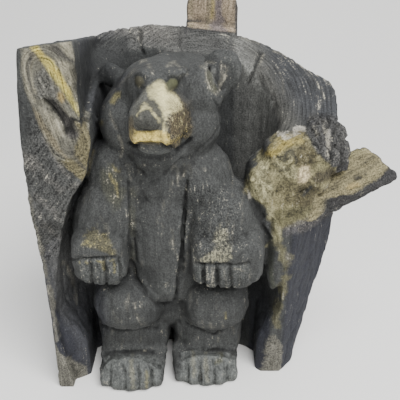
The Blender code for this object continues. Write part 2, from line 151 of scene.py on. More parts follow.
def trace(path):
    """The places of a path or outline, one a row, from its text or from numbers."""
    if isinstance(path, str):
        path = [place.split(",") for place in path.split()]
    return np.array(path, float)


def to_path(points, path, slack=(0.0, 0.0, 0.0)):
    """Distance from each point to a line through the path's places. A difference smaller than the
    slack of its axis doesn't count, so that a line can be followed over a surface that dips."""
    path = trace(path)
    # an axis with slack hardly counts when the nearest place on the line is looked for
    counted = np.where(np.array(slack) > 0, 0.02, 1.0)
    best = np.full(len(points), np.inf)
    for start, end in zip(path[:-1], path[1:]):
        edge = end - start
        t = np.clip(((points - start) @ (edge * counted)) / (edge @ (edge * counted)), 0.0, 1.0)
        off = np.maximum(np.abs(points - start - t[:, None] * edge) - slack, 0.0)
        best = np.minimum(best, np.linalg.norm(off, axis=1))
    return best


def within(points, outline):
    """How far inside a closed outline each point is, seen from the front, and less than 0 outside."""
    flat = points[:, [0, 2]]
    outline = trace(outline)
    inside = np.zeros(len(flat), bool)
    nearest = np.full(len(flat), np.inf)
    for start, end in zip(outline, np.roll(outline, -1, axis=0)):
        edge = end - start
        t = np.clip(((flat - start) @ edge) / (edge @ edge), 0.0, 1.0)
        nearest = np.minimum(nearest, np.linalg.norm(flat - start - t[:, None] * edge, axis=1))
        spans = (start[1] > flat[:, 1]) != (end[1] > flat[:, 1])
        crossing = start[0] + (flat[:, 1] - start[1]) * edge[0] / (edge[1] or 1.0)
        inside ^= spans & (flat[:, 0] < crossing)
    return np.where(inside, nearest, -nearest)


# ---------------------------------------------------------------- where things are

KNOT = (
    "-189,425 -160,432 -140,432 -135,405 -135,374 -132,352 -127,336 -125,322 -127,304 -130,290 -136,272 "
    "-149,286 -160,295 -167,307 -175,328 -182,355 -188,375 -189,394 -187,410"
)
KNOT_AXIS = "-167,-86,394 -163,-86,372 -149,-86,318"
WING_FACE = (
    "-206,310 -192,318 -184,348 -172,331 -159,304 -145,280 -137,266 -146,247 -170,194 -176,180 -192,172 "
    "-208,180"
)
BURL = (
    "34,256 40,280 48,291 54,299 62,311 72,318 88,322 99,322 104,316 109,308 120,300 134,288 134,268 116,262 "
    "113,246 112,232 99,222 80,218 72,218 66,231 57,244 46,250"
)
LUMP = "100,322 106,329 121,333 137,333 152,316 150,292 136,290 126,288 119,298 108,308 101,316"
BRANCH_OUT = Vector((0.83, 0.0, 0.56)).normalized()
BRANCH_UP = Vector((0.0, -0.68, 0.73)).normalized()
BRANCH_FACE = (
    "103,226 108,241 110,256 131,275 152,290 175,300 200,281 186,269 166,261 152,253 137,245 125,237 111,225"
)
# the saw ran slantwise over the left wing and in arcs over the rim
WING_SLANT = np.array(((0.8, 0, 0.6), (0, 1, 0), (-0.6, 0, 0.8)))
ARC_MIDDLE = (-6.0, -8.0)
ARC_WIDTH = 4.4
KNOT_RING_WIDTH = 4.2
# each eye's place seen from the front, its radius and its tint
EYES = ((-41, 380, 5.6, "eye"), (-74, 383, 5.0, "eye_brown_and_painted_shade"))
KERF = "-86,64,408 -85,56,400 -83,45,394 -80,43,384"
RIM_CRACK = "-103,71,412 -92,54,400 -82,43,390"
MOUTH = (
    "-88,-76,315 -82,-75,312 -74,-124,331 -64,-130,334 -52,-131,333 -43,-114,324 -38,-78,308 -31,-75,313 "
    "-24,-76,320"
)
CHEEK = "0,-67,360 5,-60,350 8,-50,334 7,-51,327 2,-63,321 -8,-71,313 -17,-68,303"
TRENCH = "-170,-86,365 -161,-86,354 -155,-86,344 -152,-86,333 -152,-86,327"
KNOT_SPLIT = "-142,-85,344 -134,-80,340 -127,-68,338"
CHEST_CRACK = "-28,-75,272 -30,-75,261 -32,-69,219 -36,-80,173 -40,-79,153 -42,-75,120"
LEFT_ARCH = "-139,-78,24 -134,-78,33 -123,-74,37 -108,-72,39 -89,-74,39 -73,-77,36 -62,-82,26"
RIGHT_ARCH = "-39,-73,32 -29,-72,36 -10,-69,38 11,-70,38 27,-73,33 36,-66,26"
# the right shoulder of the log stands out further than the solid's
SHOULDER = (128.0, 6.0, 348.0)
SHOULDER_SIZE = (30.0, 34.0, 30.0)
SHOULDER_PUSH = 12.0
# the cup of the right ear is shallower than the solid's: its middle and its half width and half
# height seen from the front, where its new floor is, and how far behind it a point still counts
EAR_CUP = (5, 377, 15, 19, -47, 45)

# what the saw left rounder than the solid has it: a place seen from the front, how far round it, how
# far back it reaches and how many rounds of smoothing
SOFTENED = (
    (-118, 383, 24, 45, 160),
    (-41, 387, 13, -60, 40),
    (-74, 389, 13, -60, 40),
    (8, 379, 17, -15, 30),
    (-72, 150, 20, -50, 80),
    (-14, 148, 12, -50, 40),
    (69, 352, 22, 40, 130),
    (70, 328, 22, 0, 130),
    (56, 366, 20, 50, 130),
    (-108, 34, 30, -60, 60),
    (-5, 40, 30, -55, 60),
)


def along_branch(points):
    """How far along the branch each point is."""
    return points[:, 0] * BRANCH_OUT.x + points[:, 2] * BRANCH_OUT.z


def knot_ring(points):
    """Distance from the heart of the knot, with the wander of its rings."""
    return to_path(points, KNOT_AXIS) + 1.5 * noise(points, 18.0, 71)


def saw_arc(points):
    """Distance from the middle of the saw's arcs, with their wander."""
    away = np.hypot(points[:, 0] - ARC_MIDDLE[0], points[:, 1] - ARC_MIDDLE[1])
    return away + 2.0 * noise(points, 30.0, 63)


class Cut(NamedTuple):
    """A cut, crease or crack: its path, half width and depth, and how far off its path along y."""

    path: str
    half_width: float
    depth: float
    slack: float = 9.0


CUTS = [
    # saw kerfs and drying cracks in the rim
    Cut(KERF, 2, 4),
    Cut(RIM_CRACK, 1.4, 2.5),
    Cut("-38,83,412 -38,55,392", 1.2, 2.5),
    Cut("60,55,384 53,39,373 47,33,363 42,35,352", 2, 3),
    # throat and neck
    Cut("-99,-75,296 -89,-76,285", 2, 1.5),
    Cut("-33,-77,298 -48,-74,284 -59,-74,274 -68,-73,270", 2.2, 1.6),
    Cut("-90,-70,299 -80,-71,285 -70,-73,275", 2, 1.2),
    # down the chest beside the arms
    Cut(CHEST_CRACK, 1.6, 4.5),
    Cut("-90,-79,274 -90,-78,250 -90,-75,221 -93,-76,198 -94,-71,165", 2.2, 3.5),
    # folds of the belly and the mark at its tip
    Cut("-62,-74,262 -53,-76,242 -48,-82,226 -46,-84,205", 3, 1.2),
    Cut("-66,-79,143 -60,-81,141 -54,-81,143", 1.4, 1.2),
    Cut("-60,-81,143 -56,-81,135", 1.4, 1),
    # creases of the cheek and the face's left edge
    Cut("-106,-72,340 -101,-77,333 -97,-78,326 -96,-74,306", 1.6, 1.6),
    # brow and stop, above and below the eyes
    Cut("-32,-80,388 -41,-87,389 -48,-86,385", 1.8, 0.8),
    Cut("-83,-80,388 -74,-87,391 -67,-86,386", 1.8, 0.8),
    Cut("-5,-58,388 -3,-52,378 3,-50,366", 2.4, 3, 14),
    Cut(MOUTH, 2.6, 4.5),
    Cut(CHEEK, 1.6, 1.6),
    # nose
    Cut("-73,-134,352 -70,-136,349 -62,-136,347 -55,-135,348 -52,-134,352", 1.6, 1.8),
    Cut("-65,-137,353 -62,-138,358", 1.2, 1),
    # knuckles and fingers
    Cut("-157,-98,187 -140,-105,193 -128,-105,193 -117,-105,194 -106,-104,195", 1.8, 3),
    Cut("-21,-100,185 -8,-105,187 1,-106,187 14,-108,187 25,-108,185 39,-108,190", 1.8, 3),
    Cut("-134.5,-104,192 -135,-102,175 -137,-96,148", 2, 4.2),
    Cut("-118.5,-106,192 -118.5,-102,175 -121,-96,146", 2, 4.2),
    Cut("-102.5,-104,192 -102.5,-100,175 -104,-92,150", 2, 4),
    Cut("-11,-107,186 -10,-104,168 -9,-96,142", 2.6, 5),
    Cut("4,-107,186 5,-104,168 7,-96,142", 2.6, 5),
    Cut("19,-107,186 20,-104,166 23,-96,142", 2.2, 4),
    # arches over the feet
    Cut(LEFT_ARCH, 3, 5, 14),
    Cut(RIGHT_ARCH, 3, 5, 14),
    # under the knees
    Cut("-140,-50,66 -132,-63,69 -106,-70,69 -85,-70,72 -66,-60,66", 2.4, 3, 12),
    Cut("-32,-60,72 -14,-66,67 4,-66,58 20,-74,72 34,-50,86", 2.4, 3, 12),
    # edges of the belly below the hands
    Cut("-93,-71,167 -91,-68,146 -81,-77,136 -74,-80,126 -64,-77,113 -56,-65,103 -45,-65,109 -40,-76,129"
        " -37,-78,154 -35,-78,174", 3.4, 4, 12),
    # big knot: its slot and the crack across it
    Cut(TRENCH, 2.2, 3),
    Cut("-166,-86,361 -157,-86,350 -149,-86,338 -146,-86,331", 7.5, 4.5),
    Cut("-152,-86,330 -147,-86,333 -144,-86,342", 4, 2.5),
    Cut(KNOT_SPLIT, 1.3, 2),
    # slots in the burl
    Cut("66,-84,229 66,-83,211", 1.8, 3.5),
    Cut("92,-92,262 99,-92,268", 1.5, 3),
    Cut("70,-92,298 76,-92,292 84,-92,300 88,-88,309", 1.3, 2),
    # drying cracks down the outside of the log
    Cut("-152,60,60 -150,62,190 -146,60,330", 1.6, 3),
    Cut("132,10,20 136,12,120 133,14,210", 1.3, 2.5),
]


def toes():
    """The cuts between the toes, which fan out over the front of each foot."""
    left = ((-125, -125), (-109, -106), (-91, -89), (-77, -73))
    right = ((-31, -29), (-14, -14), (2, 4), (19, 21))
    return [Cut(f"{top},-80,31 {low},-90,24 {low},-100,0", 1.6, 3.4, 22) for top, low in left + right]


def shapes_of(points, normals):
    """Where each kind of surface is, from 0 to 1 for each point."""
    x, y, z = points.T
    forward, upward = -normals[:, 1], normals[:, 2]
    ragged = layered(points, 9.0, 3) * 3.0
    knot = ramp(within(points, KNOT) + 0.2 * ragged, -1.0, 1.5) * ramp(-y, 52, 62)
    knot *= ramp(forward, 0.1, 0.4)
    wing = ramp(within(points, WING_FACE) + 2 * ragged, -6.0, 6.0) * (x < -120) * (1 - knot)
    wing *= ramp(-y, 30, 66)
    lump = ramp(within(points, LUMP) + ragged, -2.0, 2.0) * ramp(-y, 20, 40) * ramp(x, 99, 104)
    # the branch: its sawn face and the bark below it
    sawn = ramp(within(points, BRANCH_FACE) + 0.3 * ragged, -1.0, 1.0) * (x > 104)
    facing = np.maximum(ramp(normals @ np.array(BRANCH_UP), 0.72, 0.9), ramp(-x, -128, -116))
    branch = sawn * facing * ramp(-y, 20, 30) * (1 - lump)
    burl = ramp(within(points, BURL) + ragged, -1.5, 2.0) * ramp(-y, 38, 50)
    burl = burl * (1 - lump) * (1 - branch)
    below = ramp(x, 88, 96) * ramp(z + 0.15 * ragged, 203, 208) * ramp(along_branch(points), 196, 202)
    bark = below * (1 - branch) * (1 - lump) * (1 - burl) * (y > -92) * (z < 300)
    bark = np.where(x < 128, bark * ramp(-y, 40, 60), bark)
    # the stub behind the rim: its face is sloped near its foot
    stub = ramp(z, 400, 405) * ramp(y, 80, 88) * ramp(x, -38, -33) * (1 - ramp(x, 34, 38))
    sloped = ramp(y, 87, 90) * ramp(forward, 0.1, 0.3) * (z < 414) * (x > -29) * (x < 30)
    stub_face = stub * np.maximum(ramp(forward, 0.75, 0.95), sloped)
    # the tops of the walls
    top = ramp(upward, 0.35, 0.7) * ramp(z, 375, 388) * (1 - stub)
    rim = top * ramp(y, 28, 38) * (1 - ramp(x, 20, 60))
    right = ramp(x, 24, 60) * ramp(z, 300, 312) * ramp(upward, 0.2, 0.5)
    right_rim = right * (1 - lump) * (1 - burl) * (1 - branch) * (x < 150)
    # the outside of the log, outside an oval seen from above
    away = np.hypot(x * 0.72, y - 2) + 18 * (y < 0)
    outside = ramp(away, 96, 106) * (1 - knot) * (y > -60)
    return dict(
        knot=knot, wing=wing, lump=lump, branch=branch, branch_bark=bark, burl=burl, stub=stub,
        stub_face=stub_face, rim=rim, right_rim=right_rim, outside=outside,
    )


# ---------------------------------------------------------------- carving


def only(obj):
    """Makes obj the one selected and active object."""
    bpy.ops.object.select_all(action="DESELECT")
    obj.select_set(True)
    bpy.context.view_layer.objects.active = obj


def apply(obj, kind, **settings):
    """Adds a modifier with its settings and applies it."""
    modifier = obj.modifiers.new(kind.title(), kind)
    for name, value in settings.items():
        setattr(modifier, name, value)
    only(obj)
    bpy.ops.object.modifier_apply(modifier=modifier.name)


def points_of(mesh):
    """(points, normals) of a mesh, the points in millimetres from the carving's own mark."""
    points = np.empty(len(mesh.vertices) * 3, np.float32)
    normals = np.empty(len(mesh.vertices) * 3, np.float32)
    mesh.vertices.foreach_get("co", points)
    mesh.vertex_normals.foreach_get("vector", normals)
    return points.reshape(-1, 3).astype(float) * MM - MARK, normals.reshape(-1, 3).astype(float)


def move_points(mesh, points):
    """Puts points, in millimetres from the carving's own mark, back into the mesh."""
    mesh.vertices.foreach_set("co", ((points + MARK) / MM).astype(np.float32).ravel())
    mesh.update()


def edges_of(mesh):
    """The two ends of each edge, one edge a row."""
    ends = np.empty(len(mesh.edges) * 2, np.int32)
    mesh.edges.foreach_get("vertices", ends)
    return ends.reshape(-1, 2)


def relief(points, normals):
    """How far each point is raised along its normal, in millimetres."""
    x, y, z = points.T
    area = shapes_of(points, normals)
    plain = 1.0 - np.clip(area["knot"] + area["branch"] + area["stub_face"], 0, 1)
    # weathered fibres run up the log, over the flats that the tool left
    height = 0.42 * layered(points, (4.5, 4.5, 42.0), 21) * plain
    height += 0.95 * layered(points, 14.0, 25) * plain
    joints = 1 - ramp(plates(points, (15.0, 15.0, 34.0), 27), 0.0, 0.22)
    height -= 0.9 * joints * plain * (y < -20) * (z < 300)
    # long hollows down the outside, where the bark came away
    height += area["outside"] * 1.1 * layered(points, (16.0, 16.0, 130.0), 29)
    # chainsaw cuts left rough on the left wing, and the dished face below the knot
    rough = 0.9 * layered(points @ WING_SLANT, (7.0, 7.0, 24.0), 31) + 0.8 * layered(points, 6.0, 35)
    height += area["wing"] * rough
    # burl: lumps, plates and grit
    height += area["burl"] * (1.3 * layered(points, 22.0, 41) + 0.8 * layered(points, 3.6, 45))
    height -= area["burl"] * (1 - ramp(plates(points, 8.0, 47), 0.0, 0.14))
    # bark
    height += area["lump"] * (6.0 * ramp(plates(points, (9.0, 14.0, 24.0), 51), 0.0, 0.4) - 2.5)
    height += area["lump"] * layered(points, (3.0, 3.0, 9.0), 55)
    turned = np.column_stack((along_branch(points), y, z * BRANCH_OUT.x - x * BRANCH_OUT.z))
    rough = 1.3 * layered(turned, (18.0, 4.0, 4.0), 57) + 0.8 * layered(points, 5.0, 58)
    height += area["branch_bark"] * rough
    # rim: end grain, broken by the saw
    height += area["rim"] * (0.8 * layered(points, 6.0, 61) + 0.4 * layered(points, 2.8, 62))
    arcs = np.sin(saw_arc(points) * 2 * math.pi / ARC_WIDTH)
    height += area["right_rim"] * (0.35 * arcs + 0.5 * layered(points, 9.0, 65))
    # grain of the sawn faces
    rings = np.sin(knot_ring(points) * 2 * math.pi / KNOT_RING_WIDTH)
    height += area["knot"] * (0.12 * rings + 0.35 * layered(points, 5.0, 73))
    height += area["branch"] * 0.45 * layered(turned, (34.0, 3.4, 3.4), 75)
    # eyes: a round dome in a narrow ring
    near = ramp(-y, 74, 80)
    for eye_x, eye_z, radius, _ in EYES:
        away = np.hypot(x - eye_x, z - eye_z)
        height -= near * 1.8 * np.exp(-(((away - radius - 1.2) / 1.2) ** 2))
        height += near * 1.2 * ramp(radius - away, 0.0, radius)
    # cuts
    wander = noise(points, 10.0, 81)
    for cut in CUTS + toes():
        off = to_path(points, cut.path, (0, cut.slack, 0)) + wander * 0.5
        height -= cut.depth * np.clip(1.0 - off / cut.half_width, 0.0, 1.0) ** 0.7
    return height


def soften(mesh, points):
    """Rounds off the places that the saw left softer."""
    ends = edges_of(mesh)
    for at_x, at_z, reach, back, rounds in SOFTENED:
        away = np.hypot(points[:, 0] - at_x, points[:, 2] - at_z)
        share = (1 - ramp(away, reach * 0.6, reach)) * (1 - ramp(points[:, 1], back - 6, back))
        chosen = np.nonzero(share > 0)[0]
        place = np.full(len(points), -1)
        place[chosen] = np.arange(len(chosen))
        a, b = place[ends[np.all(share[ends] > 0, axis=1)]].T
        here, weight = points[chosen], share[chosen][:, None] * 0.8
        count = np.bincount(a, minlength=len(here)) + np.bincount(b, minlength=len(here))
        count = np.maximum(count, 1)[:, None]
        for _ in range(rounds):
            total = [np.bincount(a, i[b], len(here)) + np.bincount(b, i[a], len(here)) for i in here.T]
            here = here + (np.column_stack(total) / count - here) * weight
        points[chosen] = here
    return points


def reshape(points, normals):
    """The parts of the log and the bear that stand a little off the solid's."""
    x, y, z = points.T.copy()
    cup_x, cup_z, half_width, half_height, floor, deepest = EAR_CUP
    away = np.hypot((x - cup_x) / half_width, (z - cup_z) / half_height)
    over = y - floor - (x - cup_x)
    share = (1 - ramp(away, 0.75, 1.0)) * ramp(-normals[:, 1], 0.0, 0.2) * (over < deepest)
    points[:, 1] -= 0.9 * share * np.maximum(over, 0)
    # the log's walls are thicker at their feet, up to the bear's feet
    low = 1 - ramp(z, 40, 110)
    left = ramp(normals[:, 0], 0.2, 0.5) * (x < -148) * ramp(y, -88, -80) * (y < 20)
    points[:, 0] += low * left * np.maximum(-173 + 19 * ramp(y, -84, -68) - x, 0)
    right = ramp(-normals[:, 0], 0.2, 0.5) * (x > 50) * (x < 90) * (y > -80) * (y < 0)
    points[:, 0] -= low * right * np.maximum(x - 73 + 15 * ramp(y, -74, -58), 0)
    # the branch hangs a little lower at its underside, seen where the points are now
    facing = ramp(0.3 - normals @ np.array(BRANCH_UP), 0.0, 0.7)
    under = ramp(x * BRANCH_OUT.x + z * BRANCH_OUT.z, 225, 250) * facing * (x > 108)
    points += np.outer(5.0 * under, (0.3, -0.3, -0.9))
    # the gap between the feet narrows upwards
    off = x + 52
    closing = ramp(z, 4, 42) * (1 - ramp(z, 58, 80)) * (y > -115) * (y < -15)
    points[:, 0] -= 0.9 * off * np.exp(-((off / 14) ** 2)) * closing
    return points


def carve(obj):
    """Moves the mesh's points to their new places and by the relief. The underside stays flat."""
    mesh = obj.data
    points, normals = points_of(mesh)
    points = soften(mesh, reshape(points, normals))
    away = np.linalg.norm((points - SHOULDER) / SHOULDER_SIZE, axis=1)
    points += np.outer(SHOULDER_PUSH * np.exp(-(away**2)), (0.75, 0.0, 0.66))
    move_points(mesh, points)
    points, normals = points_of(mesh)
    off_ground = ramp(points[:, 2], 0.5, 4.0)
    moved = points + normals * (relief(points, normals) * off_ground)[:, None]
    moved[:, 2] = np.maximum(moved[:, 2], 0.0)
    move_points(mesh, moved)


def thin_out(obj, faces):
    """Collapses the mesh to that many triangles, more of them at the front than at the back."""
    points, _ = points_of(obj.data)
    front = ramp(-points[:, 1] + 0.25 * points[:, 2], -60, 40)
    weight = np.round(1.0 - 0.8 * front, 1)
    group = obj.vertex_groups.new(name="thinning")
    for level in np.unique(weight):
        group.add(np.nonzero(weight == level)[0].tolist(), max(float(level), 0.05), "REPLACE")
    count = sum(len(polygon.vertices) - 2 for polygon in obj.data.polygons)
    thinner = {"vertex_group": group.name, "vertex_group_factor": 0.02, "use_collapse_triangulate": True}
    apply(obj, "DECIMATE", ratio=min(1.0, faces / count), **thinner)
    obj.vertex_groups.clear()


# ---------------------------------------------------------------- marks of the finish


def near_shape(places, shape, margin):
    """Which places lie in the shape's box, widened by the margin."""
    return np.all((places > shape.min(axis=0) - margin) & (places < shape.max(axis=0) + margin), axis=1)


class Patch(NamedTuple):
    """A patch of colour: its outline seen from the front, and how it ends and wears. near is how far
    back from the front, along y, it reaches."""

    tint: str
    outline: str
    amount: float = 1.0
    soft: float = 1.2
    ragged: float = 1.5
    near: float = -60.0
    wear: float = 0.0
    streak: float = 0.0
    grit: float = 0.0
    area: str = ""

    def cover(self, points, torn):
        """(chosen, cover): the points that it may reach, and how far it covers each of those."""
        shape = trace(self.outline)
        margin = self.soft + self.ragged * 1.5 + 1
        chosen = near_shape(points[:, [0, 2]], shape, margin) & (points[:, 1] < self.near)
        inside = within(points[chosen], shape) + self.ragged * torn[chosen]
        return chosen, ramp(inside, -self.soft, self.soft)


class Stroke(NamedTuple):
    """A line of colour: its path and half width, and how it ends and wears."""

    tint: str
    path: str
    half_width: float
    amount: float = 1.0
    ragged: float = 1.0
    wear: float = 0.0
    slack: float = 8.0
    area: str = ""

    def cover(self, points, torn):
        """(chosen, cover): the points that it may reach, and how far it covers each of those."""
        shape = trace(self.path)
        margin = np.array((0.0, self.slack, 0.0)) + self.half_width + self.ragged * 1.5 + 2
        chosen = near_shape(points, shape, margin)
        off = to_path(points[chosen], shape, (0, self.slack, 0)) + self.ragged * torn[chosen]
        return chosen, 1.0 - ramp(off, self.half_width * 0.5, self.half_width * 1.3 + 0.4)


def over(area, *marks):
    """Marks that are kept to one kind of surface."""
    return [mark._replace(area=area) for mark in marks]


    area: str = ""


WING_MARKS = [
    Patch("end_grain", WING_FACE, 0.15, 8, 5, -60, 0.03, 0, 0.6),
    Stroke("end_grain", "-187,-88,301 -174,-88,280 -163,-88,266 -146,-87,273", 3, 0.4, 4, 0.1),
    Stroke("end_grain", "-189,-89,262 -174,-89,241 -162,-87,228", 3, 0.4, 4, 0.12),
    Stroke("end_grain", "-189,-90,240 -181,-86,214 -172,-80,200", 3, 0.35, 4, 0.1),
    Patch("end_grain", "-197,310 -187,306 -182,297 -188,288 -198,296", 0.8, 3, 3, -60, 0.1, 0, 0.3),
    Stroke("end_grain", "-174,-87,325 -164,-87,300 -152,-87,281", 1.2, 0.9, 1.5, 0.1),
    Patch("soot", "-208,372 -191,372 -185,352 -184,334 -196,322 -210,330", 0.55, 4, 4),
    Stroke("raw_foot", "-197,-90,262 -196,-90,235 -194,-88,205 -193,-86,172 -190,-86,145 -187,-90,109"
        " -186,-93,70", 2, 0.8, 2.5, 0.15, 9),
    Patch("raw_foot", "-194,74 -187,64 -183,54 -177,42 -168,26 -160,12 -158,-4 -198,-4 -198,40", 1, 1, 2.5,
        -70, 0.1, 0.1, 0.5),
    Stroke("worn", "-179,-55,158 -175,-40,128 -171,-34,86", 1.2, 0.3, 2, 0.2),
]
KNOT_MARKS = [
    *over(
        "knot",
        Patch("knot_base", KNOT, 1, 1, 1.2, -60, 0, 0.55, 0.05),
        Patch("knot_tan", "-176,422 -165,413 -161,401 -170,402 -178,408", 0.5, 2, 2),
        Patch("knot_pale", "-150,430 -136,430 -136,406 -143,408 -148,416", 0.7, 2, 2, wear=0.05),
        Patch("knot_dark", "-158,424 -150,417 -143,407 -137,401 -148,406 -158,413", 0.85, 1.5, 2),
        Patch("knot_pale", "-154,404 -143,401 -136,399 -136,364 -134,346 -140,361 -146,384", 1, 2, 2),
        Stroke("knot_pale", "-181,-86,412 -185,-86,400 -185,-87,386 -183,-87,372 -179,-87,363", 1.6, 0.6),
        Stroke("knot_dark", "-176,-86,410 -181,-86,396 -182,-87,384 -179,-87,370", 1.1, 0.75, 0.6),
        Stroke("knot_pale", "-173,-86,407 -179,-86,396 -179,-86,382 -177,-86,372", 1, 0.5, 0.8),
        Patch("knot_core", "-175,390 -167,397 -161,386 -158,378 -155,369 -158,361 -170,365 -176,366"
            " -177,380", 0.9, 2, 2, -60, 0.12, 0, 0.4),
        Patch("yellow", "-176,415 -170,418 -163,408 -156,401 -151,393 -147,383 -142,373 -137,360 -136,348"
            " -141,354 -147,366 -153,377 -159,387 -164,397", 0.85, 2, streak=0.5),
        Stroke("yellow_bright", "-159,-85,396 -153,-85,389 -148,-85,380 -143,-85,371", 1.6, 0.6, 1.2),
        Stroke("yellow_bright", "-172,-85,414 -167,-85,408", 1.6, 0.5, 1.5),
        Patch("orange", "-155,372 -150,373 -148,366 -152,361 -156,366", 0.7, 1.5, 1),
        Patch("knot_tan", "-182,357 -176,352 -170,337 -164,327 -158,314 -149,301 -150,295 -160,309 -169,322"
            " -177,338", 0.9, 2, 2),
        Patch("knot_pale", "-174,357 -163,348 -156,336 -154,326 -160,323 -169,338", 0.6, 2.5, 2),
        Patch("ochre", "-141,341 -131,338 -126,324 -128,300 -136,274 -141,281 -142,296 -145,304 -142,318"
            " -137,328", 0.9, 2, 2, grit=0.3),
        Patch("ochre", "-160,300 -147,303 -139,292 -136,272 -141,278 -151,288", 0.9, 2, 2, grit=0.3),
        Stroke("knot_dark", "-148,-86,313 -141,-86,299 -135,-86,291", 1.8, 0.7, 1.5),
        # the dark hollow in the middle of the knot: painted shade, with near black along its cut
        Patch("trench", "-170,366 -164,357 -158,348 -153,336 -152,327 -143,323 -138,327 -142,336 -142,345"
            " -148,348 -153,355 -160,363", 0.95, 1.5, grit=0.3),
        Stroke("soot", TRENCH, 1, 0.5, 0.8),
    ),
    # the split across the knot darkened: painted shade in the cut
    Stroke("soot", KNOT_SPLIT, 1, 0.9, 0.5),
]
BURL_MARKS = [
    *over(
        "burl",
        Patch("burl_base", BURL, 1, 1, 1.5, -38, 0.03, 0.1, 0.2),
        Patch("burl_pale", "34,262 42,282 50,294 59,297 61,284 62,262 58,246 48,248", 0.85, 4, 4, -38, 0.05),
        Patch("burl_pale", "59,283 60,295 67,303 79,299 87,291 89,282 78,278", 0.6, 4, 4, -38),
        Patch("burl_green", "70,248 94,248 109,242 101,230 81,222 70,222 64,240", 0.75, 4, 4, -38),
        Patch("burl_yellow", "50,296 60,306 70,314 80,319 96,322 95,317 84,314 74,310 62,302", 0.9, 2, 3,
            -38),
        Patch("burl_brown", "84,312 97,320 105,312 107,298 95,291 85,297", 0.9, 2, 2.5, -38),
        Patch("burl_brown", "69,276 88,279 95,272 96,255 88,247 76,252 71,262", 0.6, 3, 4, -38, grit=0.3),
        Patch("burl_brown", "74,240 90,246 106,240 96,230 82,228", 0.5, 3, 4, -38, grit=0.3),
        Stroke("burl_brown", "60,-85,300 64,-86,292 58,-86,284 52,-84,276", 1.2, 0.6, 1.5, 0, 16),
        Stroke("burl_brown", "64,-86,292 74,-88,284 82,-90,276", 1.2, 0.6, 1.5, 0, 16),
        Stroke("burl_brown", "58,-86,284 60,-86,268 66,-86,256", 1, 0.5, 1.5, 0, 16),
        Patch("burl_brown", "88,268 100,279 115,270 115,252 103,244 88,250", 0.95, 2, 3, -38),
        Patch("burl_bark", "103,282 111,291 126,291 136,276 132,268 120,276 110,272", 0.85, 2, 2, -38),
        Patch("burl_green", "103,293 110,301 125,296 125,289 112,288", 0.8, 2, 2, -38),
        Patch("burl_pink", "88,284 92,295 100,295 102,284 98,276 90,274", 0.9, 2, 2, -38),
        Patch("burl_pale", "54,246 62,242 72,222 68,216 58,234", 0.9, 2, 2.5, -38),
    ),
    Stroke("burl_white", "74,-62,318 82,-61,320 90,-57,321 98,-54,323", 1.4, 0.55, 4, 0.4, 6),
    Stroke("burl_white", "71,-50,317 76,-58,318", 1.4, 0.5, 2, 0.1, 6),
    Stroke("burl_white", "40,-66,257 41,-70,251", 1.4, 0.8, 0.5, 0.2),
    # near black along the slots of the burl: painted shade in the cuts
    Stroke("soot", "67,-85,303 72,-87,301 75,-85,307 82,-84,311", 1.6, 0.8, 0.8, 0, 16),
    Stroke("soot", "74,-90,300 82,-86,308 86,-89,303 85,-90,297", 1.5, 0.75, 0.8, 0, 16),
    Stroke("soot", "64,-85,296 72,-87,290 80,-87,292", 1.2, 0.7, 0.8, 0, 16),
    Stroke("soot", "97,-87,261 104,-88,270", 1.8, 0.9, 0.4, 0, 16),
    Patch("burl_shade", "64,236 76,246 90,246 112,240 104,228 92,222 78,214 70,218", 0.6, 4, 4, -38,
        area="burl"),
    Patch("underside", "79,219 93,227 110,233 138,206 116,204 93,211 80,208", 0.8, 2, 3, -40, 0.03, 0.3, 0.3),
    # ragged edge of the right side, from the burl to the ground
    Stroke("burl_pale", "62,-85,242 67,-80,227 71,-82,217 73,-84,206", 4, 0.9, 3, 0.05, 12),
    Stroke("burl_green", "71,-84,208 75,-86,196 81,-84,184 86,-80,171 86,-79,157 84,-77,142 82,-75,122",
        4.6, 0.6, 7, 0.14, 12),
    Stroke("underside", "84,-83,186 89,-80,174 87,-79,160", 2, 0.5, 3, 0.2, 10),
    Stroke("burl_pale", "62,-75,192 68,-81,200 72,-83,207", 2, 0.6, 3, 0.1, 10),
    Stroke("burl_green", "82,-70,108 79,-64,86 80,-71,76", 3, 0.45, 5, 0.12, 14),
    Stroke("lip", "66,-78,204 67,-80,189 67,-80,169 69,-78,152 74,-73,131", 2.6, 0.8, slack=12),
    Patch("raw_foot", "69,48 73,60 80,62 86,50 91,40 91,-4 62,-4 66,8 68,26", 1, 1, 3, -40, 0.05, 0.1, 0.5),
]
BRANCH_MARKS = over(
    "branch",
    Patch("branch_wood", BRANCH_FACE, 1, 1, 0.5, -20, 0, 0.3, 0.3),
    Stroke("burl_green", "135,-69,287 154,-42,287 172,-32,294", 2.4, 0.5, 2),
    Stroke("branch_dark", "122,-73,255 142,-63,264 162,-54,272 186,-44,282", 1, 0.55, 1.6),
    Stroke("branch_dark", "128,-68,260 152,-54,273 182,-40,287", 1, 0.7, 1.6),
    Stroke("branch_dark", "158,-58,269 163,-58,269", 2.2, 1, 0.3),
    Stroke("branch_dark", "166,-57,270 170,-56,271", 1.3, 1, 0.3),
    Stroke("orange", "150,-67,261 160,-66,263", 2, 0.5),
)
STUB_MARKS = [
    *over(
        "stub_face",
        Patch("stub_wood", "-31,400 -31,446 34,446 34,400", 1, 0.6, 0.2, 130, 0, 0.2, 0.2),
        Patch("stub_stain", "-3,400 -4,411 2,414 5,420 3,428 1,440 14,440 13,428 15,416 20,400", 0.9, 1.2,
            2, 130),
        Stroke("stub_yellow", "3,95,436 1,95,418", 1.6, 0.8, 1.5, 0, 20),
        Stroke("stub_green", "-3,95,440 -4,95,402", 1.8, 0.5, 1.5, 0, 20),
        Stroke("stub_green", "-26,95,440 -25,95,400", 2.5, 0.5, slack=20),
    ),
    Stroke("bark", "-32,95,440 -32,95,400", 1.8, 0.9, 0.5, 0, 20),
    Stroke("bark", "31.5,95,440 31.5,95,400", 2, 0.9, 0.5, 0, 20),
    Stroke("bark", "-32,95,442 32,95,442", 1.2, 0.6, 0.5, 0, 20),
]
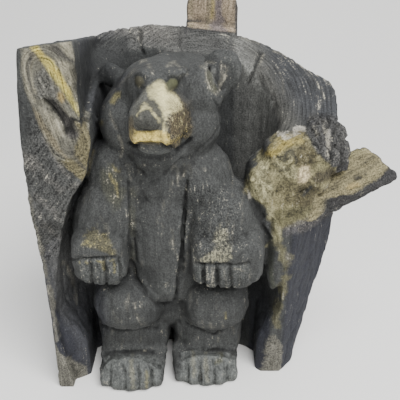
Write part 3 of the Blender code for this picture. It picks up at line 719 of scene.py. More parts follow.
MUZZLE = (
    "-66,380 -57,383 -49,382 -41,373 -33,364 -28,352 -25,336 -26,324 -30,314 -37,311 -43,324 -51,334 -64,334 "
    "-76,330 -84,314 -88,322 -84,340 -80,356 -79,364 -75,369 -68,376"
)
FACE_MARKS = [
    Patch("muzzle_left", MUZZLE, 1, 0.8, 0.6, -76),
    Patch("cream", "-66,378 -57,383 -49,382 -41,373 -33,364 -30,357 -36,360 -43,362 -46,356 -45,340 -42,330"
        " -48,335 -49,358 -52,367 -57,372 -63,374", 1, 1, 0.8, -76, grit=-0.4),
    Stroke("nose_band", "-68,-96,376 -62,-90,379", 1.5, 0.5, 1.5),
    Patch("mottle", "-44,368 -30,366 -24,352 -24,334 -38,330 -46,352", 0.35, 5, 5, -76, 0.1, 0, 0.8),
    Patch("mottle", "-44,362 -34,360 -26,350 -24,334 -28,322 -38,326 -43,340 -45,352", 0.9, 5, 5, -76, 0.14,
        0, 0.9),
    Patch("muzzle_left", "-66,378 -60,380 -54,372 -48,364 -47,352 -50,356 -53,366 -60,373", 0.4, 4, 2, -76),
    Patch("scorched", "-43,342 -34,334 -24,332 -26,310 -37,309 -43,322 -46,332", 0.8, 2.5, 2, -76, 0.05, 0,
        0.9),
    Patch("cream_yellow", "-80,349 -74,347 -62,347 -50,348 -43,341 -42,328 -50,332 -60,333 -72,331 -84,314",
        1, 1, 1, -90, 0, 0.15),
    Patch("golden", "-88,314 -85,338 -80,357 -77,360 -75,346 -77,336 -82,326", 0.75, 1.5, 1.5, -76, 0, 0.4),
    Patch("golden", "-46,341 -34,336 -30,322 -37,318 -44,327", 0.5, 3, 2, -76, 0.1, 0.3, 0.5),
    Patch("foot_grey", "-79,321 -46,322 -44,312 -60,305 -75,309", 0.45, 2, 2, -76, 0.08),
    Patch("golden", "-76,334 -62,338 -50,337 -44,334 -44,326 -52,331 -70,330", 0.4, 2, 1.5, -76, 0, 0.3),
    Stroke("golden", "-79,-110,350 -78,-118,338 -81,-104,322", 2.2, 0.6, 1.5, 0, 24),
    Stroke("golden", "-51,-125,346 -50,-126,338 -46,-124,328", 2, 0.5, 1.5, 0, 24),
    Patch("nose_band", "-74,361 -72,368 -68,371 -63,373 -57,372 -51,368 -48,361 -48,352 -52,347 -60,348"
        " -72,350", 0.95, 0.8, 0.8, -100),
    Patch("nose", "-77,351 -73,360 -67,366 -62,367 -56,364 -53,357 -52,350 -57,347 -65,346 -74,346", 1, 0.8,
        0.5, -100),
    Stroke("cream", "-72,-133,363 -69,-128,366 -64,-122,367 -60,-125,367 -56,-135,364 -52,-133,358", 0.6,
        0.5, 0.6, 0.05, 5),
    Stroke("cream", "-69,-126,367 -65,-120,368 -67,-116,370", 0.5, 0.4, 0.6, 0.05, 4),
    # near black in the mouth's cut and along the jaw's lower edge: painted shade
    Stroke("soot", MOUTH, 1.4, 0.9, 0.4),
    Stroke("soot", "-89,-72,305 -77,-77,302 -63,-80,300 -52,-81,301 -42,-79,303 -34,-76,309", 1.5, 0.8, 0.5),
    Stroke("worn", "-63,-118,326 -59,-118,324", 1.2, 0.2, 1.5, 0.25),
    # left ridge of the face, its rubbed places and its scratches
    Stroke("worn", "-77,-37,392 -77,-70,393 -88,-54,382 -97,-54,373 -105,-52,365 -112,-50,358 -116,-57,349",
        1.1, 0.12, 2, 0.22, 12),
    Stroke("patch_yellow", "-106,-64,356 -102,-59,362 -98,-61,364", 2.8, 0.6, 2, 0.15, 9),
    Stroke("patch_yellow", "-121,-56,330 -117,-62,335", 1.8, 0.6, 1, 0.2, 9),
    Stroke("worn", "-108,-69,349 -106,-73,343 -101,-77,332", 1.2, 0.2, 1.5, 0.25),
    Stroke("worn", "-98,-77,323 -96,-74,314 -96,-72,308 -98,-73,298", 1.3, 0.3, 1.2, 0.25),
    Stroke("worn", "-77,-37,392 -72,-35,394 -69,-50,394 -66,-62,394 -60,-83,390", 0.9, 0.2, 1.5, 0.25, 6),
    Stroke("worn", "-47,-58,393 -41,-45,392 -35,-46,390", 0.9, 0.3, 1, 0.25),
    Stroke("worn", "-34,-77,393 -31,-60,389 -27,-70,384", 0.9, 0.3, 1, 0.25, 10),
    Stroke("worn", "-24,-73,362 -22,-73,353 -22,-75,343", 0.6, 0.2, 0.8, 0.2),
    # the cheek's crease and the whole left ear darkened: painted shade
    Stroke("soot", CHEEK, 0.9, 0.6, 0.8, 0, 10),
    Patch("soot", "-142,358 -142,402 -100,402 -94,384 -108,366", 0.75, 4, 2, 60),
    # right ear: dark at the head of its cup and down its hollow as painted shade, a pale grey in its cup as
    # painted light, with pale scratches
    Patch("soot", "-6,394 4,396 14,392 12,386 4,388 -4,386", 0.8, 2, 1, -24),
    Patch("recess", "-5,384 -3,387 3,386 2,372 -3,368 -6,374", 0.15, 2, 2, -24, 0.1),
    Stroke("soot", "5,-50,387 4,-48,376 4,-48,368", 2.6, 0.8, 2, 0, 20),
    Stroke("worn", "9,-42,385 10,-42,377 7,-46,369", 2.4, 0.25, 1.5, 0.3, 14),
    Stroke("moss", "-5,-66,384 -3,-67,374 2,-66,368", 3, 0.8, 1.5, 0.1, 14),
    Stroke("worn", "-7,-55,389 -8,-63,383 -5,-68,374 2,-66,365", 0.8, 0.3, 1, 0.3, 12),
    Stroke("worn", "8,-40,390 14,-36,386 13,-34,377 9,-40,369 3,-64,366", 1.2, 0.25, 1.5, 0.35, 16),
    Stroke("worn", "-13,-52,391 -7,-43,391 0,-36,392", 0.9, 0.2, 1.2, 0.25, 10),
]
BODY_MARKS = [
    Patch("moss", "-121,284 -108,290 -101,282 -97,264 -99,246 -108,243 -115,254 -121,268", 0.5, 4, 5,
        wear=0.22),
    Stroke("patch_yellow", "-110,-80,281 -104,-82,270 -103,-84,258", 1.4, 0.4, 2.5, 0.2),
    Stroke("patch_yellow", "-107,-78,290 -101,-80,285", 1.6, 0.4, 1.5, 0.2),
    Stroke("moss", "-88,-75,262 -88,-74,240 -90,-75,205 -91,-74,170", 2.4, 0.35, 4, 0.12, 14),
    Patch("patch_yellow", "-142,209 -138,216 -130,220 -122,219 -111,213 -106,204 -108,197 -114,198 -124,206"
        " -134,207", 0.3, 2, 4, -60, 0.3, 0, 0.3),
    Patch("foot_grey", "-150,188 -147,160 -140,148 -100,146 -98,190 -118,193 -140,192", 0.6, 2, 2, -84,
        0.08, 0.3, 0.3),
    Stroke("patch_yellow", "-147,-104,186 -140,-105,189 -138,-105,186", 1, 0.6, 1, 0.25),
    Stroke("patch_yellow", "-127,-105,189 -120,-105,188 -121,-102,174", 1, 0.6, 1, 0.25),
    Stroke("patch_yellow", "-112,-105,189 -108,-105,191 -109,-101,172", 1, 0.6, 1, 0.25),
    Patch("patch_white", "-17,190 -12,199 -4,203 1,212 4,224 9,230 15,226 19,212 22,196 16,189 3,189"
        " -7,187", 0.35, 2, 5, -60, 0.32, 0, 0.2),
    Patch("foot_grey", "-22,184 -16,146 24,142 42,160 40,188 20,184", 0.5, 2, 2, -84, 0.06, 0.3, 0.4),
    Stroke("worn", "0,-107,181 1,-103,163 2,-98,146", 1.2, 0.2, 1.5, 0.2),
    Stroke("worn", "12,-107,181 15,-103,163 17,-97,148", 1.2, 0.2, 1.5, 0.2),
    Stroke("worn", "24,-107,181 35,-106,177", 1, 0.3, 1, 0.2),
    Patch("char", "-33,272 8,266 28,250 34,212 12,190 -18,186 -28,210 -32,240", 0.3, 6, 6, -60, 0.1, 0, 0.5),
    # the chest crack darkened: painted shade in the cut
    Stroke("soot", CHEST_CRACK, 1.1, 0.85, 0.8),
    Patch("foot_grey", "-72,144 -60,150 -48,143 -46,130 -62,126 -74,134", 0.35, 3, 3, wear=0.08),
    # the knees' tops under the hands, the gap between the knees and the knees' outer sides darkened, the left
    # side with slate: painted shade
    Patch("soot", "-152,166 -62,166 -60,134 -80,126 -110,134 -148,138", 0.5, 8, 3),
    Patch("soot", "-36,166 48,166 48,130 10,138 -24,128", 0.5, 8, 3),
    Patch("soot", "-82,112 -24,112 -32,48 -68,48", 0.7, 9, 4),
    Patch("slate", "-152,154 -130,150 -124,100 -130,64 -152,62", 0.6, 8, 4),
    Patch("soot", "28,144 52,146 52,56 36,56 34,100", 0.5, 7, 4),
    # near black along the arches over the feet: painted shade in those cuts
    Stroke("soot", LEFT_ARCH, 1.8, 0.9, 0.8, 0, 14),
    Stroke("soot", RIGHT_ARCH, 1.8, 0.9, 0.8, 0, 14),
    Stroke("worn", "-91,-92,122 -88,-90,104 -84,-87,90", 0.8, 0.2, 2, 0.25),
    Stroke("patch_yellow", "16,-88,108 17,-87,98", 1, 0.5, 1.5, 0.25),
    Stroke("worn", "-2,-86,96 -1,-84,82", 0.8, 0.2, 1.5, 0.25),
    Stroke("worn", "12,-86,96 14,-84,80", 0.8, 0.2, 1.5, 0.25),
    Patch("foot_grey", "-134,32 -124,37 -108,39 -88,38 -73,36 -62,28 -66,-4 -140,-4", 0.85, 2, 2, -74, 0.02,
        0.3, -0.2),
    Patch("foot_grey", "-36,34 -16,38 6,38 30,32 36,-4 -44,-4", 1, 2, 2, -68, 0.02, 0.3, -0.2),
    Stroke("patch_white", "-99,-84,33 -97,-97,22 -95,-104,8", 2.4, 0.4, 2.5, 0.12, 12),
    Stroke("patch_yellow", "-80,-92,26 -80,-102,8", 1.8, 0.45, 2, 0.15, 12),
    Stroke("patch_white", "-23,-78,32 -21,-88,15", 2.4, 0.3, 2.5, 0.1, 12),
    Stroke("patch_white", "-7,-78,32 -5,-90,12", 2.4, 0.35, 2.5, 0.12, 12),
    Stroke("moss", "5,-80,29 13,-80,31", 2.2, 0.8, 1.5, 0.2, 12),
    Stroke("worn", "-84,-75,38 -83.5,-75,38", 1.2, 0.54, 0.2, 0.5),
]
RIM_MARKS = [
    # near black along the kerf and the cracks: painted shade in the cuts
    Stroke("soot", KERF, 1.4, 0.9, 0.3, 0, 4),
    Stroke("worn", "-89,64,409 -88,56,401 -86,45,395", 0.8, 0.36, 0.8, 0.3, 4),
    Stroke("soot", RIM_CRACK, 0.9, 0.5, 0.5, 0, 4),
    Stroke("soot", "60,55,384 53,39,373 47,33,363 42,35,355", 1.4, 0.8, 0.5, 0, 6),
    Stroke("worn", "63,53,382 57,39,373", 0.8, 0.4, 0.8, 0.3, 6),
    Stroke("worn", "74,60,384 86,58,382 96,50,378", 0.9, 0.25, 1.5, 0.25, 6),
    Stroke("worn", "30,72,398 45,80,396 58,78,392", 1.2, 0.2, 2, 0.25, 6),
    Stroke("worn", "66,31,370 71,13,360 71,-6,347 68,-14,330", 0.8, 0.15, 1.2, 0.2, 6),
    Stroke("worn", "78,36,370 82,18,361 81,-4,349", 0.8, 0.12, 1.2, 0.2, 6),
    Stroke("worn", "111,39,368 120,21,358 127,7,350 121,-12,340 110,-32,331", 2.2, 0.06, 4, 0.16, 10),
]
LUMP_MARKS = [
    Patch("recess", LUMP, 0.1, 3, 4, -20, 0.1, 0, 0.5, "lump"),
    Stroke("burl_white", "122,-37,327 120,-58,326 121,-82,312", 1.6, 0.25, 4, 0.4, 16),
    Stroke("worn", "108,-50,327 110,-66,322", 1.2, 0.3, 2, 0.2, 12),
]
MARKS = (
    RIM_MARKS + WING_MARKS + KNOT_MARKS + BURL_MARKS + BRANCH_MARKS
    + LUMP_MARKS + STUB_MARKS + BODY_MARKS + FACE_MARKS
)


def scratches():
    """Short pale scratches that run down the bear, as the saw and the weather left them."""
    chance = np.random.default_rng(SCRATCH_SEED)
    strokes = []
    for _ in range(SCRATCHES):
        x, z = chance.uniform(-152, 48), chance.uniform(50, 300)
        length, lean = chance.uniform(5, 20), chance.normal(0, 0.2)
        path = ((x, -80, z), (x + lean * length, -80, z - length))
        worn = chance.uniform(0.08, 0.24)
        strokes.append(Stroke("worn", path, chance.uniform(0.4, 0.9), worn * 0.8, wear=worn, slack=45))
    return strokes


# ---------------------------------------------------------------- finish, laid on point by point


def shelter_of(obj, rays=16, reach=0.12, lift=0.0008):
    """How shut in each point is, from 0 in the open to 1 deep in a gap."""
    tree = BVHTree.FromObject(obj, bpy.context.evaluated_depsgraph_get())
    spread = np.random.default_rng(RAY_SEED).normal(size=(rays, 3))
    spread /= np.linalg.norm(spread, axis=1)[:, None]
    shut = []
    for vertex in obj.data.vertices:
        normal = vertex.normal
        start = vertex.co + normal * lift
        # a little over one normal, so that no ray runs back into the wood
        hits = [tree.ray_cast(start, Vector(ray) + normal * 1.02, reach)[0] is not None for ray in spread]
        shut.append(sum(hits) / rays)
    return np.array(shut)


def neighbour_mean(mesh, values, rounds):
    """values smoothed over the mesh's edges."""
    a, b = edges_of(mesh).T
    count = np.bincount(a, minlength=len(values)) + np.bincount(b, minlength=len(values)) + 1
    for _ in range(rounds):
        total = values + np.bincount(a, values[b], len(values)) + np.bincount(b, values[a], len(values))
        values = total / count
    return values


def edge_of(mesh, points, normals):
    """How sharply the surface turns at each point: above 0 on a ridge, below 0 in a groove."""
    mean = np.column_stack([neighbour_mean(mesh, axis, 3) for axis in points.T])
    return neighbour_mean(mesh, np.einsum("ij,ij->i", points - mean, normals), 1)


# what shows where a tint is worn through, when it isn't the plain worn wood, and how bright
SHOWS_THROUGH = {
    "patch_yellow": ("patch_yellow", 1.25),
    "patch_white": ("patch_white", 1.25),
    "mottle": ("cream", 0.75),
    "scorched": ("cream_yellow", 0.6),
}


class Coat:
    """The finish of each point while it is being laid on, over charred wood."""

    def __init__(self, points, normals, tint):
        self.points, self.normals, self.tint = points, normals, tint
        self.area = shapes_of(points, normals)
        self.patchy = layered(points, 18.0, 105)
        self.torn = layered(points, 7.0, 111) + 0.5 * layered(points, 2.6, 115, 2)
        count = len(points)
        self.colour = np.tile(np.array(tint.char), (count, 1))
        self.bare = np.tile(np.array(tint.worn), (count, 1))
        self.wear, self.streak, self.grit = np.full(count, 0.05), np.full(count, 0.30), np.full(count, 0.70)

    def lay(self, tint, amount):
        """Lays a colour over the coat, where amount is 1."""
        colour = np.array(getattr(self.tint, tint))
        self.colour += (colour - self.colour) * np.clip(amount, 0, 1)[:, None]

    def brighten(self, share):
        """Makes the coat brighter by a share of itself, or darker where the share is below 0."""
        self.colour *= (1 + share)[:, None]

    def mark(self, mark):
        """Lays a patch or a stroke on."""
        chosen, cover = mark.cover(self.points, self.torn)
        if isinstance(mark, Patch):
            self.streak[chosen] += cover * mark.streak
            self.grit[chosen] += cover * mark.grit
        if mark.area:
            cover = cover * self.area[mark.area][chosen]
        laid = np.zeros(len(self.points))
        laid[chosen] = cover
        self.lay(mark.tint, laid * mark.amount)
        self.wear += laid * mark.wear
        if mark.tint in SHOWS_THROUGH:
            below, bright = SHOWS_THROUGH[mark.tint]
            self.bare += (np.array(getattr(self.tint, below)) * bright - self.bare) * laid[:, None]


def lay_walls(coat):
    """The smooth dark sides of the log, and a pale grey over the inside of the hollow as painted light."""
    x, y, z = coat.points.T
    fade = 4 + 40 * ramp(y, -50, 0)
    left_low = 1 - ramp(z + 12 * coat.patchy, 205 - fade, 200 + fade)
    right_low = 1 - ramp(z + 2 * coat.patchy, 218 - fade, 218 + fade)
    paw = (x > -162) * (y < -84)
    side = ramp(-x, 140, 152) * left_low * (1 - paw) + ramp(x, 84, 92) * right_low
    coat.lay("slate", np.clip(side, 0, 1) * 0.85)
    coat.lay("slate", coat.area["outside"] * 0.45)
    foot = ramp(x, -177, -173) * (x < -150) * (y > -80) + ramp(-x, -74, -71) * (x > 52) * (y > -70)
    coat.lay("slate", foot * (1 - ramp(z, 80, 130)) * 0.85)
    # the hollow's right side: a pale grey as painted light, made lighter to the right and darker to the left
    # as painted light and shade
    inner = ramp(x, 24, 34) * (1 - ramp(x, 66, 76)) * ramp(z, 150, 190) * (y > -44)
    inner *= ramp(-coat.normals[:, 0] - coat.normals[:, 1], 0.0, 0.4)
    coat.lay("recess", inner)
    coat.brighten(inner * (0.7 * ramp(x, 32, 56) - 0.35))
    # the hollow's darker left side: slate, and a little of the pale grey as painted light, more of it higher
    # up
    inner = ramp(-x, 128, 150) * ramp(y, -84, -72) * (1 - ramp(z, 200, 260))
    inner *= ramp(coat.normals[:, 0] - coat.normals[:, 1], 0.2, 0.6)
    coat.lay("slate", inner * 0.6)
    coat.lay("recess", inner * (0.10 + 0.22 * ramp(z, 60, 150)))


def lay_rim(coat):
    """The rim, lighter towards its back edge, and the bark."""
    x, y, _ = coat.points.T
    rim, right_rim, wing, lump, bark, stub = (
        coat.area[name] for name in ("rim", "right_rim", "wing", "lump", "branch_bark", "stub")
    )
    back = ramp(y + 0.25 * x, 22, 62)
    left = 1 - ramp(x, -70, -24)
    coat.lay("end_grain", rim * (0.2 + 0.7 * back * left))
    coat.wear += rim * (0.03 + 0.10 * back) * (0.4 + 0.6 * left)
    coat.grit += rim * 0.5
    coat.lay("rim_blue", right_rim * 0.9)
    outward = ramp(x + 0.35 * y, 66, 100)
    coat.lay("recess_edge", right_rim * (1 - outward) * 0.7)
    coat.wear += right_rim * 0.14 * (0.3 + outward) * ramp(coat.patchy, -0.3, 0.4)
    coat.streak += right_rim * 0.5 + rim * 0.5 + wing * 0.5
    coat.lay("bark", lump * 0.9)
    coat.lay("bark", bark * 0.9)
    coat.grit += lump * 0.5 + bark * 0.5
    coat.wear += bark * 0.07
    coat.lay("bark", stub * 0.8)


def weather(coat, shelter, edge):
    """Breaks up the burl, lays near black into the sheltered hollows as soot and painted shade, darkens the
    grooves as painted shade, and rubs the ridges.
    """
    x, _, z = coat.points.T
    area = coat.area
    raw = np.clip(area["knot"] + area["burl"] + area["branch"] + area["stub_face"], 0, 1)
    coat.brighten(area["burl"] * 0.42 * layered(coat.points, 9.0, 107))
    joint = 1 - ramp(plates(coat.points, 8.0, 47), 0.0, 0.16)
    coat.brighten(-0.6 * area["burl"] * joint * ramp(z - 0.5 * x, 200, 250))
    # the sheltered hollows take near black: soot and painted shade
    deep = ramp(shelter, 0.35, 0.9)
    coat.lay("soot", deep * 0.7 * (1 - 0.6 * raw))
    ridge = ramp(edge, 0.15, 0.6)
    coat.wear += 0.20 * ridge * ramp(coat.patchy, -0.1, 0.5)
    coat.brighten(0.18 * ridge)
    # the grooves are darkened: painted shade
    coat.brighten(-0.5 * ramp(-edge, 0.12, 0.6))
    coat.wear *= 1.0 - deep * 0.7


def stain_eyes(coat):
    """The eyes: a stained ball in a dark ring, the ring painted shade in the groove round the ball, and the
    ball browner towards the bottom as painted shade.
    """
    x, y, z = coat.points.T
    near = ramp(-y, 76, 82)
    for eye_x, eye_z, radius, tint in EYES:
        away = np.hypot(x - eye_x, z - eye_z)
        # a dark ring round the ball: painted shade in its groove
        coat.lay("soot", near * (1 - ramp(away, radius + 1.0, radius + 2.6)) * 0.7)
        ball = near * (1 - ramp(away, radius - 0.8, radius + 0.4))
        coat.lay(tint, ball)
        # the lower part of the ball browner: painted shade under the dome
        coat.lay("eye_brown_and_painted_shade", ball * ramp(eye_z - z, 0.5, 4.0) * 0.8)
        coat.wear *= 1 - ball
        coat.grit *= 1 - 0.8 * ball


def grain_of(points, area):
    """Where each point is in the run of its grain: across it, and along it as the third number."""
    x, y, z = points.T
    grain = points.copy()
    slanted = area["wing"] > 0.3
    grain[slanted] = (points @ WING_SLANT)[slanted]
    angle = np.arctan2(y - ARC_MIDDLE[1], x - ARC_MIDDLE[0])
    across_branch = points @ np.cross(BRANCH_OUT, BRANCH_UP)
    for where, across, along in (
        (area["knot"], knot_ring(points), z),
        (area["branch"], across_branch, along_branch(points)),
        (area["right_rim"] + area["rim"], saw_arc(points), angle * 90),
    ):
        grain[where > 0.5] = np.column_stack((across, y * 0, along))[where > 0.5]
    # the muzzle was sanded, so its grain is short
    sanded = (within(points, MUZZLE) > 0) & (y < -84)
    grain[sanded, 2] *= 6
    return grain


def finish_points(obj, tint):
    """Works out the colours, wear and grain at each point, as the mesh's own attributes."""
    mesh = obj.data
    points, normals = points_of(mesh)
    coat = Coat(points, normals, tint)
    coat.brighten(0.16 * layered(points, 55.0, 101) + 0.18 * coat.patchy)
    lay_walls(coat)
    lay_rim(coat)
    for mark in scratches() + MARKS:
        coat.mark(mark)
    shelter = neighbour_mean(mesh, shelter_of(obj), 3)
    weather(coat, shelter, edge_of(mesh, points, normals))
    stain_eyes(coat)

    whole = np.ones(len(points))
    store(mesh, "coat", "FLOAT_COLOR", np.column_stack((np.clip(coat.colour, 0, 1), whole)))
    store(mesh, "bare", "FLOAT_COLOR", np.column_stack((np.clip(coat.bare, 0, 1), whole)))
    store(mesh, "grain", "FLOAT_VECTOR", grain_of(points, coat.area) / MM)
    store(mesh, "wear", "FLOAT", np.clip(coat.wear, 0, 1))
    store(mesh, "streak", "FLOAT", np.clip(coat.streak, 0, 1.5))
    store(mesh, "grit", "FLOAT", np.clip(coat.grit, 0, 1.5))


def store(mesh, name, kind, values):
    """Keeps one value a point in the mesh, under that name."""
    attribute = mesh.attributes.new(name, kind, "POINT")
    field = {"FLOAT": "value", "FLOAT_VECTOR": "vector", "FLOAT_COLOR": "color"}[kind]
    attribute.data.foreach_set(field, np.ascontiguousarray(values, np.float32).ravel())


# ---------------------------------------------------------------- materials


def add(tree, kind, inputs=(), output=0, **settings):
    """Adds a node with its own settings, sets or links its inputs, which are given in order or by
    name, and gives one of its outputs, or the node itself when it has none."""
    node = tree.nodes.new("ShaderNode" + kind)
    for name, value in settings.items():
        setattr(node, name, value)
    for socket, value in inputs.items() if isinstance(inputs, dict) else enumerate(inputs):
        if isinstance(value, bpy.types.NodeSocket):
            tree.links.new(value, node.inputs[socket])
        else:
            node.inputs[socket].default_value = value
    return node.outputs[output] if node.outputs else node


def new_tree(name):
    """(material, node tree) of a new material with nothing in it."""
    material = bpy.data.materials.new(name)
    material.use_nodes = True
    material.node_tree.nodes.clear()
    return material, material.node_tree


def weathered_wood():
    """Softwood, chainsaw cut, charred and rained on: matt, with soft fibres and worn-through flecks."""
    material, tree = new_tree("charred_weathered_wood")
    place = add(tree, "TexCoord", output="Object")
    grain = add(tree, "Attribute", output="Vector", attribute_name="grain")
    coat, bare = (add(tree, "Attribute", output="Color", attribute_name=name) for name in ("coat", "bare"))
    wear, streak, grit = (
        add(tree, "Attribute", output="Fac", attribute_name=name) for name in ("wear", "streak", "grit")
    )
    # fibres 2 mm wide and 25 mm long: coarser than real ones, to show at this size
    combed = add(tree, "Mapping", {"Vector": grain, "Scale": (1.0, 1.0, 0.09)})
    fibre = add(tree, "TexNoise", {"Vector": combed, "Scale": 420.0, "Detail": 3.0, "Roughness": 0.6})
    # grit and flecks 1.5 to 3 mm across
    speck = add(tree, "TexNoise", {"Vector": place, "Scale": 560.0, "Detail": 3.0, "Roughness": 0.65})
    # cloudy patches 15 mm across
    broad = add(tree, "TexNoise", {"Vector": place, "Scale": 65.0, "Detail": 4.0, "Roughness": 0.6})
    smooth = {"interpolation_type": "SMOOTHSTEP"}
    times = {"operation": "MULTIPLY"}
    times_plus = {"operation": "MULTIPLY_ADD"}
    plus = {"operation": "ADD"}
    at_least = {"operation": "MAXIMUM"}

    # how bright the coat and the bare wood are: fibres, grit and clouds
    lines = add(tree, "MapRange", (fibre, 0.3, 0.7, -0.55, 0.55), **smooth)
    lines = add(tree, "Math", (lines, streak), **times)
    grains = add(tree, "MapRange", (speck, 0.3, 0.7, -0.55, 0.55), **smooth)
    shade = add(tree, "Math", (grains, grit, lines), **times_plus)
    clouds = add(tree, "MapRange", (broad, 0.25, 0.75, 0.82, 1.18), **smooth)
    shade = add(tree, "Math", (add(tree, "Math", (shade, clouds), **plus), 0.12), **at_least)
    coat = add(tree, "VectorMath", {0: coat, 3: shade}, operation="SCALE")
    shade = add(tree, "Math", (add(tree, "Math", (lines, 1.0), **plus), 0.5), **at_least)
    bare = add(tree, "VectorMath", {0: bare, 3: shade}, operation="SCALE")

    # bare flecks where fibre and speck peak together, more of them where the coat is worn
    peak = add(tree, "MapRange", (broad, 0.35, 0.65, -0.05, 0.05), **smooth)
    for part, share in ((fibre, 0.5), (speck, 0.5), (wear, 0.34)):
        peak = add(tree, "Math", (part, share, peak), **times_plus)
    fleck = add(tree, "MapRange", (peak, 0.645, 0.74, 0.0, 1.0), **smooth)
    colour = add(tree, "Mix", {0: fleck, 6: coat, 7: bare}, output=2, data_type="RGBA")

    # fibres and grit stand up, and flecks are chipped out
    height = add(tree, "Math", (fleck, -0.25, add(tree, "Math", (speck, grit), **times)), **times_plus)
    raised = add(tree, "Math", (streak, 0.8), **times)
    height = add(tree, "Math", (fibre, raised, height), **times_plus)
    surface = {
        "Base Color": colour,
        "Roughness": add(tree, "MapRange", (broad, 0.2, 0.8, 0.72, 0.88), **smooth),
        "IOR": 1.45,
        "Specular IOR Level": 0.35,
        "Normal": add(tree, "Bump", {"Height": height, "Strength": 0.8, "Distance": 0.0014}),
    }
    add(tree, "OutputMaterial", {"Surface": add(tree, "BsdfPrincipled", surface)})
    return material


def studio_paper(shade):
    """Matt background paper: an even, slightly soft white."""
    material, tree = new_tree("matt_studio_paper")
    place = add(tree, "TexCoord", output="Object")
    tooth = add(tree, "TexNoise", {"Vector": place, "Scale": 900.0, "Detail": 2.0})
    surface = {
        "Base Color": (*shade, 1.0),
        "Roughness": 0.95,
        "Specular IOR Level": 0.2,
        "Normal": add(tree, "Bump", {"Height": tooth, "Strength": 0.05, "Distance": 0.0002}),
    }
    add(tree, "OutputMaterial", {"Surface": add(tree, "BsdfPrincipled", surface)})
    return material


# ---------------------------------------------------------------- settings


def colour_setting(name, code, description):
    """A colour that a user can change, from an sRGB hex value."""
    label = name.replace("_", " ").capitalize()
    return bpy.props.FloatVectorProperty(
        name=label, description=description, default=linear(code), min=0.0, max=1.0, size=3, subtype="COLOR"
    )


TINTS = (
    ("char", "373837", "Charred wood, rained on and gone grey"),
    # near black: soot, and painted shade in hollows, cuts and creases, under the hands, between the knees and
    # round the eyes
    ("soot", "222323", "Char that nothing has washed"),
    ("slate", "21222a", "Smooth dark sides low on the log"),
    ("recess_edge", "43423d", "Smoky inner edge of the right rim"),
    # pale grey: painted light in the shaded hollow and in the right ear's cup, and a grey tint on the bark
    # lump
    ("recess", "80807b", "Smoky inner face of the hollow"),
    ("worn", "827e71", "Wood that shows where the char has rubbed off"),
    ("yellow_bright", "91803a", "Brightest resin in the knot"),
    ("scorched", "3d382a", "Scorched golden wood beside the mouth"),
    ("end_grain", "595753", "Weathered grey end grain of the rim"),
    ("rim_blue", "303133", "Blue-grey sawn top of the right side"),
    ("knot_base", "55534a", "Bare wood of the big knot, gone silver grey"),
    ("knot_tan", "645d4b", "Tan wood at the head of the knot"),
    ("knot_pale", "827d6b", "Palest wood round the knot"),
    ("knot_dark", "3c3a36", "Dark bands in the knot"),
    # painted shade in the dark hollow of the knot
    ("trench", "353331", "Dark hollow in the middle of the knot"),
    ("knot_core", "504f4a", "Speckled heart of the knot"),
    ("yellow", "9d924d", "Resin-yellow stripe in the knot"),
    ("orange", "847143", "Resin spot in the knot"),
    ("ochre", "5b553e", "Ochre wood below the knot"),
    ("burl_base", "746e51", "Bare wood of the burl"),
    ("burl_yellow", "8b7d46", "Yellow top of the burl"),
    ("burl_green", "656146", "Green-tinged wood below the burl"),
    ("burl_pale", "9a9573", "Pale pitted wood of the burl"),
    ("burl_pink", "b3a482", "Freshly broken wood of the burl"),
    ("burl_white", "cfc9bb", "Rubbed white edge above the burl"),
    ("burl_brown", "443f2d", "Brown knots of the burl"),
    ("burl_shade", "4c4934", "Darker green wood low on the burl"),
    ("burl_bark", "373228", "Bark left on the burl"),
    ("branch_wood", "6d664c", "Sawn face of the branch"),
    ("branch_dark", "39362c", "Dark grain of the branch"),
    ("bark", "2d2c2c", "Charred bark"),
    ("underside", "484646", "Purple-grey wood below the branch"),
    ("stub_wood", "7d705e", "Sawn tan face of the stub behind"),
    ("stub_stain", "5f5756", "Purple-brown stain on the stub"),
    ("stub_yellow", "7f7348", "Resin streak on the stub"),
    ("stub_green", "595540", "Yellow-green streak on the stub"),
    ("cream", "bbb384", "Pale top of the muzzle"),
    ("cream_yellow", "c5b062", "Pale yellow wood below the nose"),
    ("golden", "554e3e", "Golden-brown wood of the muzzle"),
    ("mottle", "4e4532", "Scorched side of the muzzle"),
    ("muzzle_left", "4f4f4a", "Grey left side of the muzzle"),
    ("nose", "383834", "Dark grey of the nose"),
    ("nose_band", "44433b", "Grey-brown band round the nose"),
    ("eye", "444531", "Olive of the eyes"),
    # brown of the left eye, and painted shade on the lower part of each eye
    ("eye_brown_and_painted_shade", "37352a", "Brown shade of the eyes"),
    ("foot_grey", "4e504e", "Rubbed grey of fingers and toes"),
    ("patch_yellow", "746d48", "Yellow wood rubbed bare"),
    ("patch_white", "777461", "White wood rubbed bare"),
    ("moss", "454538", "Green-tinged stain"),
    ("lip", "383a32", "Smooth green lip beside the hollow"),
    ("raw_foot", "59574f", "Bare grey wood at the log's front edges"),
)


class FinishSettings(bpy.types.PropertyGroup):
    """The colours of the carving's finish."""

    __annotations__ = {tint: colour_setting(tint, code, about) for tint, code, about in TINTS}


class CarvingSettings(bpy.types.PropertyGroup):
    """How finely the carving is made, and its finish."""

    detail: bpy.props.FloatProperty(
        name="Detail",
        description="Size of the cubes that the carving is remeshed in",
        default=0.0019,
        min=0.001,
        max=0.01,
        unit="LENGTH",
    )
    triangles: bpy.props.IntProperty(
        name="Triangles", description="Triangles kept in the finished carving", default=196000, min=1000
    )
    finish: bpy.props.PointerProperty(type=FinishSettings)


class StageSettings(bpy.types.PropertyGroup):
    """The light and the paper round the carving."""

    key: bpy.props.FloatProperty(
        name="Key light", description="Power of the large soft light", default=120.0, min=0.0, unit="POWER"
    )
    fill: bpy.props.FloatProperty(
        name="Surrounding light", description="Strength of the even light all round", default=0.85, min=0.0
    )
    paper: colour_setting("paper", "ecebe8", "Background paper")


# ---------------------------------------------------------------- operators and panel


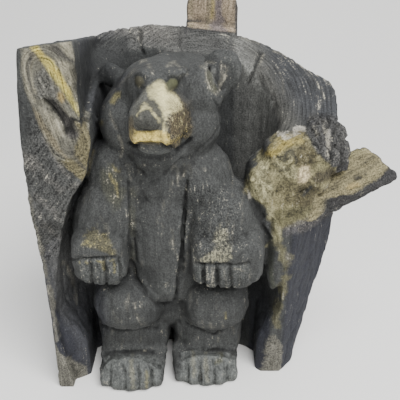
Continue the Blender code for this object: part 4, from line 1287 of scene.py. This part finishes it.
class CARVING_OT_bear(bpy.types.Operator):
    """Carve and finish the bear in its hollow log"""

    bl_idname = "carving.bear"
    bl_label = "Bear in Hollow Log"

    def execute(self, context):
        settings = context.scene.carving
        obj = bpy.data.objects.new(PIECE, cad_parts[NODE].data.copy())
        context.scene.collection.objects.link(obj)
        obj.data.materials.clear()
        only(obj)
        bpy.ops.object.mode_set(mode="EDIT")
        bpy.ops.mesh.select_all(action="SELECT")
        bpy.ops.mesh.remove_doubles(threshold=WELD)
        bpy.ops.object.mode_set(mode="OBJECT")
        apply(obj, "REMESH", mode="VOXEL", voxel_size=settings.detail)
        apply(obj, "SMOOTH", factor=0.5, iterations=2)
        carve(obj)
        thin_out(obj, settings.triangles)
        finish_points(obj, settings.finish)
        obj.data.materials.append(weathered_wood())
        only(obj)
        bpy.ops.object.shade_smooth()
        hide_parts(NODE)
        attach(obj, "root")
        return {"FINISHED"}


class CARVING_OT_stage(bpy.types.Operator):
    """Set up the paper sweep, the light and the camera"""

    bl_idname = "carving.stage"
    bl_label = "Stage"

    def execute(self, context):
        settings = context.scene.carving_stage
        bpy.ops.object.select_all(action="DESELECT")
        bpy.ops.mesh.primitive_grid_add(x_subdivisions=4, y_subdivisions=60, size=1.0)
        paper = context.object
        paper.name = "paper_sweep"
        for vertex in paper.data.vertices:
            run = vertex.co.y + 0.5
            bend = ramp(run, 0.35, 1.0)
            place = (vertex.co.x * PAPER_WIDTH, PAPER_FRONT + run * PAPER_RUN, PAPER_RISE * bend * bend)
            vertex.co = Vector(place)
        paper.data.materials.append(studio_paper(settings.paper))
        bpy.ops.object.shade_smooth()

        # a square soft light aimed at the middle of the carving
        lamp = bpy.data.lights.new("key_light", "AREA")
        lamp.size = KEY_SIZE
        lamp.energy = settings.key
        key = bpy.data.objects.new("key_light", lamp)
        context.scene.collection.objects.link(key)
        key.location = KEY_PLACE
        aim = Vector(KEY_AIM) - Vector(KEY_PLACE)
        key.rotation_euler = aim.to_track_quat("-Z", "Y").to_euler()
        world = bpy.data.worlds.new("soft_studio")
        context.scene.world = world
        world.use_nodes = True
        background = world.node_tree.nodes["Background"]
        background.inputs["Color"].default_value = (*linear(SKY), 1.0)
        background.inputs["Strength"].default_value = settings.fill

        camera = bpy.data.cameras.new("camera")
        camera.sensor_width = CAMERA_SENSOR
        camera.lens = CAMERA_LENS
        seat = bpy.data.objects.new("camera", camera)
        context.scene.collection.objects.link(seat)
        seat.location = Vector((*(MARK[:2] + CAMERA_PLACE[:2]), CAMERA_PLACE[2])) / MM
        seat.rotation_euler = (math.radians(90 - CAMERA_DIP), 0.0, 0.0)
        context.scene.camera = seat
        return {"FINISHED"}


class CARVING_PT_panel(bpy.types.Panel):
    bl_label = "Carving"
    bl_space_type = "VIEW_3D"
    bl_region_type = "UI"
    bl_category = "Carving"

    def draw(self, context):
        scene = context.scene
        for group, operator in ((scene.carving, CARVING_OT_bear), (scene.carving_stage, CARVING_OT_stage)):
            column = self.layout.column()
            for name in group.__annotations__:
                if name != "finish":
                    column.prop(group, name)
            column.operator(operator.bl_idname)


CLASSES = (
    FinishSettings, CarvingSettings, StageSettings, CARVING_OT_bear, CARVING_OT_stage, CARVING_PT_panel,
)


def register():
    for cls in CLASSES:
        bpy.utils.register_class(cls)
    bpy.types.Scene.carving = bpy.props.PointerProperty(type=CarvingSettings)
    bpy.types.Scene.carving_stage = bpy.props.PointerProperty(type=StageSettings)


def unregister():
    del bpy.types.Scene.carving_stage
    del bpy.types.Scene.carving
    for cls in reversed(CLASSES):
        bpy.utils.unregister_class(cls)



def main():
    """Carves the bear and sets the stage."""
    register()
    bpy.ops.carving.bear()
    bpy.ops.carving.stage()


if __name__ == "__main__":
    main()
